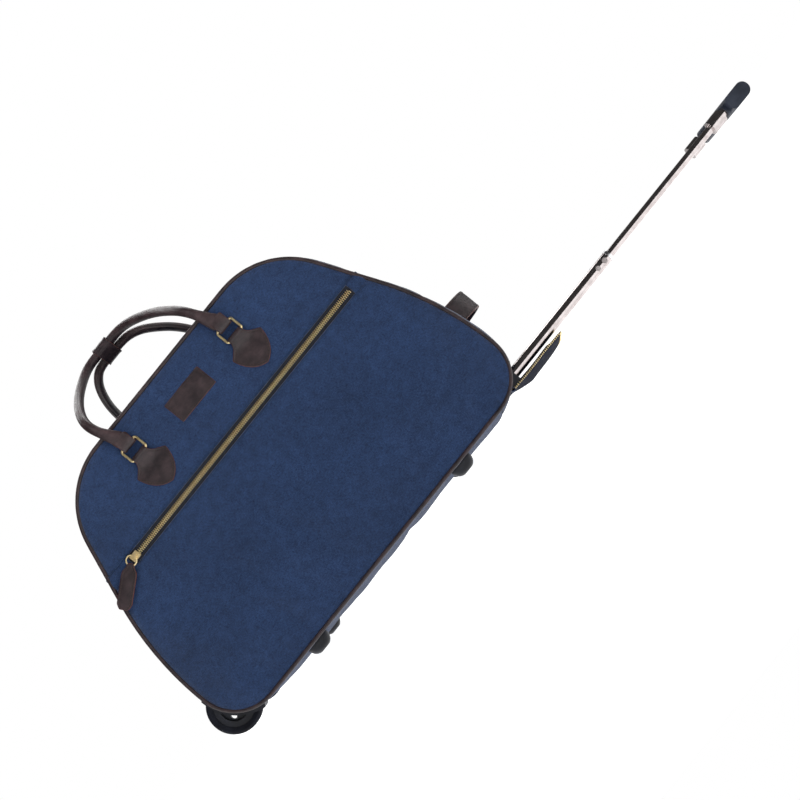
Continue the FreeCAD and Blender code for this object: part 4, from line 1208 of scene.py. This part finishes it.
def build_hood():
    """The canvas hood over the tubes' exit: sewn at its top corners, standing off towards its open lip."""
    top, low, half = hood_high.z, hood_low.z, hood_high.y
    heights = np.linspace(low, top, 13)
    columns = np.linspace(-half, half, 29)
    bm = cloth_mesh()
    rows = []
    for z in heights:
        row = []
        for y in columns:
            up = (z - low) / (top - low)
            stand = 1.2 + 6.6 * min(1, (1 - up) / 0.22) ** 0.6 * (1 - 0.12 * (abs(y) / half) ** 4)
            stand += 0.35 * math.sin(y * 0.21 + 1.3 * up * 3) * (1 - up)
            x, level_z, nx, nz = edge(run_at_height(z))
            row.append((x + nx * stand, y, level_z + nz * stand))
        rows.append(row)
    sheet_grid(bm, rows, lambda i, j: (columns[j], heights[i]), 0)
    item = finished(bm, "exit_hood_canvas", canvas_dark, "bag", "handle_hood", slot="canvas")
    thickened(item, 1.3)
    threads = bmesh.new()
    line = [Vector(p) + Vector((0.3, 0, 0)) for p in rows[-2]]
    stitches(threads, line, [Vector((1, 0, 0.1))] * len(line))
    for column in (1, -2):
        line = [Vector(row[column]) + Vector((0.3, 0, 0)) for row in rows]
        stitches(threads, line, [Vector((1, 0, 0))] * len(line))
    finished(threads, "hood_stitching", thread_navy, "bag", slot="canvas")


flap_low, flap_high = spans("handle_flap")
NOTCH = 9
FLAP_TIP = flap_high.x
FLAP_HALF = flap_high.y


def flap_point(along, across):
    """The open flap hangs in a shallow trough: along 0..1 from its hinge, across -1..1."""
    start = flap_low.x + 1
    tip = FLAP_TIP - NOTCH * (1 - abs(across))
    x = start + (tip - start) * along
    waist = 0.8 + 0.2 * min(1, along / 0.2)
    belly = 11.5 * min(1, max(0.03, (along - 0.16) / 0.3)) ** 0.8 * (1 - 0.3 * along * along)
    sag = belly * (1 - abs(across) ** 2.2)
    curl = 1.2 * math.sin(9 * along + 2 * across)
    return (x, FLAP_HALF * across * waist, 2.2 - sag - 0.3 * curl)


def build_flap():
    """The unzipped flap of the trolley pocket, with its half of the zip round the edge."""
    bm = cloth_mesh()
    along, across = np.linspace(0, 1, 23), np.linspace(-1, 1, 29)
    rows = [[flap_point(a, b) for b in across] for a in along]
    sheet_grid(bm, rows, lambda i, j: (along[i] * 97, across[j] * 60), 0)
    item = finished(bm, "trolley_flap_canvas", canvas_dark, "trolley_flap", "handle_flap", slot="canvas")
    thickened(item, 1.8, 0)

    rim = [(a, -1.0) for a in np.linspace(0.14, 1, 40)] + [(1.0, b) for b in np.linspace(-1, 1, 40)[1:-1]]
    rim += [(a, 1.0) for a in np.linspace(1, 0.14, 40)]
    path = smooth_path([flap_point(a, b) for a, b in rim], 240)
    lengths = np.concatenate([[0], np.cumsum([(q - p).length for p, q in zip(path, path[1:])])])
    table = np.array([tuple(p) for p in path])
    bm = bmesh.new()
    for start in np.arange(1, lengths[-1] - 1, TOOTH_PITCH):
        p, q = between(start, lengths, table), between(start + 0.5, lengths, table)
        ahead = (q - p).normalized()
        out = ahead.cross(Vector((0, 0, 1))).normalized()
        up = out.cross(ahead)
        rings = []
        for height, size in ((-0.6, 0.9), (0.3, 1.0), (1.2, 1.0), (1.6, 0.88), (1.85, 0.6)):
            rings.append([p + ahead * a * size + out * (2.3 - b * size) + up * height for a, b in TOOTH])
        tube(bm, rings)
    finished(bm, "flap_zip_brass", brass_teeth, "trolley_flap", "flap_zip_teeth", slot="brass")

    bm = cloth_mesh()
    rows = []
    for i, p in enumerate(path):
        before, after = neighbours(path, i)
        out = (after - before).normalized().cross(Vector((0, 0, 1))).normalized()
        rows.append([p + out * across + Vector((0, 0, height))
                     for across, height in ((-7, 1.2), (-3.4, 1.5), (-0.4, 1.2), (0.9, 0.5))])
    sheet_grid(bm, rows, lambda i, j: (lengths[i], 3.0 * j), 0)
    item = finished(bm, "flap_zip_tape", tape_cloth, "trolley_flap", slot="zip_tape")
    modifier(item, "SOLIDIFY", thickness=0.5 * MM, offset=0)


def build_corner_tab():
    """A folded end of webbing in the seam at the foot of the handle end, one at each side."""
    bm = cloth_mesh()
    for side in (-1, 1):
        profile = [(0, 0), (0.35, 3.5), (1.6, 5.6), (3.0, 6.2), (4.2, 5.4), (5.0, 3.2), (5.4, -0.5)]
        rows = []
        for y in np.linspace(103, 119, 6):
            x, z, nx, nz = edge(HALF_BASE + 27, 0.8)
            tx, tz = nz, -nx
            rows.append([(x + nx * v - tx * (u - 2.7), side * y, z + nz * v - tz * (u - 2.7))
                         for u, v in profile])
        sheet_grid(bm, rows, lambda i, j: (i * 3.2, j * 2.4), 0)
    item = finished(bm, "corner_tabs", canvas, "bag", slot="canvas")
    thickened(item, 1.1, 0)


piping("front_piping_leather", -1, "front_piping")
piping("back_piping_leather", 1, "back_piping")
build_zips()
handle("front_handle_leather", -1, "front_carry_handle", "front_handle")
handle("back_handle_leather", 1, "back_carry_handle", "back_handle")
build_wrap()
build_chapes()
build_label()
build_pull_tab()
build_grab_strap()
build_hood()
build_flap()
build_corner_tab()

# ------------------------------------------------------------------ materials of the CAD nodes

FINISHES = {
    lining_cloth: ("lining", "pocket_wall"),
    chrome: [f"{side}_{stage}_tube" for side in ("front", "back") for stage in ("fixed", "mid", "inner")]
    + ["grip_bracket", "collar_pins"],
    bright: ["mid_collars"],
    steel: ["wheel_axles", "foot_screws", "button_spring"],
    brass: ["front_slider", "front_pull_ring", "main_slider_left", "main_slider_right", "main_pull_left",
            "main_pull_right", "front_left_ring", "front_right_ring", "back_left_ring", "back_right_ring"],
    brass_teeth: ["main_zip_teeth", "front_zip_teeth", "flap_zip_teeth"],
    tape_cloth: ["main_zip_tapes", "front_zip_tapes"],
    black_plastic: ["base_frame", "feet", "wheel_housings", "front_rim", "back_rim", "exit_bezel",
                    "tube_saddle", "release_button"],
    tyre_rubber: ["front_tyre", "back_tyre"],
    grip_rubber: ["grip"],
    board: ["false_floor"],
    brown: ["chapes", "front_handle", "back_handle", "handle_wrap", "grab_strap", "label_patch",
            "front_pull_tab"],
    dark_piping: ["front_piping", "back_piping"],
    canvas_dark: ["handle_hood", "handle_flap"],
}
for made, names in FINISHES.items():
    for name in names:
        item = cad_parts[name]
        if not item.material_slots:
            item.data.materials.append(made)
        for index in range(len(item.material_slots)):
            item.material_slots[index].material = made

# ------------------------------------------------------------------ floor, light and camera


def lamp(name, place, towards, size, power):
    """A square softbox; place and target in metres."""
    data = bpy.data.lights.new(name, "AREA")
    data.shape = "RECTANGLE"
    data.size, data.size_y = size
    data.energy = power
    item = bpy.data.objects.new(name, data)
    item.location = place
    item.rotation_euler = (Vector(towards) - Vector(place)).to_track_quat("-Z", "Y").to_euler()
    bpy.context.scene.collection.objects.link(item)
    return item


def studio():
    bm = bmesh.new()
    bmesh.ops.create_grid(bm, x_segments=2, y_segments=2, size=6)
    ground = bpy.data.objects.new("floor", mesh_of(bm, "floor"))
    ground.data.materials.append(floor_paint)
    bpy.context.scene.collection.objects.link(ground)
    middle = (cad_box[0] + cad_box[1]) / 2
    lamp("rim_softbox", middle + Vector((-0.1, 1.0, 1.25)), middle, (1.6, 0.7), 17)
    fill = lamp("front_softbox", middle + Vector((-0.1, -0.75, 0.85)), middle + Vector((0, 0, 0.1)),
                (1.2, 0.5), 9)
    fill.visible_glossy = False
    lamp("strip", middle + Vector((-0.5, -1.1, 1.1)), middle, (0.12, 1.2), 3.5)
    lamp("end_softbox", middle + Vector((1.7, 0.5, 0.7)), middle, (0.8, 1.0), 9)
    world = bpy.data.worlds.new("studio")
    world.use_nodes = True
    tree = world.node_tree
    seen = tree.nodes["Background"]
    seen.inputs["Color"].default_value = (1, 1, 1, 1)
    room = tree.nodes.new("ShaderNodeBackground")
    room.inputs["Strength"].default_value = 0.3
    coordinates = tree.nodes.new("ShaderNodeTexCoord")
    split = tree.nodes.new("ShaderNodeSeparateXYZ")
    shades = tree.nodes.new("ShaderNodeMapRange")
    shades.inputs["From Min"].default_value, shades.inputs["From Max"].default_value = 0.75, 1.0
    shades.inputs["To Min"].default_value, shades.inputs["To Max"].default_value = 0.2, 1.5
    path = tree.nodes.new("ShaderNodeLightPath")
    mixed = tree.nodes.new("ShaderNodeMixShader")
    links = tree.links
    links.new(coordinates.outputs["Generated"], split.inputs[0])
    links.new(split.outputs["Y"], shades.inputs["Value"])
    links.new(shades.outputs[0], room.inputs["Color"])
    links.new(path.outputs["Is Camera Ray"], mixed.inputs[0])
    links.new(room.outputs[0], mixed.inputs[1])
    links.new(seen.outputs[0], mixed.inputs[2])
    links.new(mixed.outputs[0], tree.nodes["World Output"].inputs["Surface"])
    bpy.context.scene.world = world


VIEW_LEAN = math.atan2(0.779, 0.627)
VIEW_DISTANCE, VIEW_LENS, SENSOR = 1.25, 50.2, 36
VIEW_MIDDLE, VIEW_SHIFT = (82.3, 20), (-0.024, 0.105)


def look():
    """The camera faces the front panel squarely; the bag leans in the picture."""
    data = bpy.data.cameras.new("camera")
    data.lens, data.sensor_width = VIEW_LENS, SENSOR
    data.shift_x, data.shift_y = VIEW_SHIFT
    item = bpy.data.objects.new("camera", data)
    right = Vector((math.cos(VIEW_LEAN), 0, -math.sin(VIEW_LEAN)))
    up = Vector((math.sin(VIEW_LEAN), 0, math.cos(VIEW_LEAN)))
    turn = Matrix((right, up, Vector((0, -1, 0)))).transposed()
    eye = at(VIEW_MIDDLE[0], -VIEW_DISTANCE / MM - HALF_DEPTH, VIEW_MIDDLE[1])
    item.matrix_world = Matrix.Translation(eye) @ turn.to_4x4()
    bpy.context.scene.collection.objects.link(item)
    bpy.context.scene.camera = item


studio()
look()
bpy.context.scene.view_settings.view_transform = "Standard"
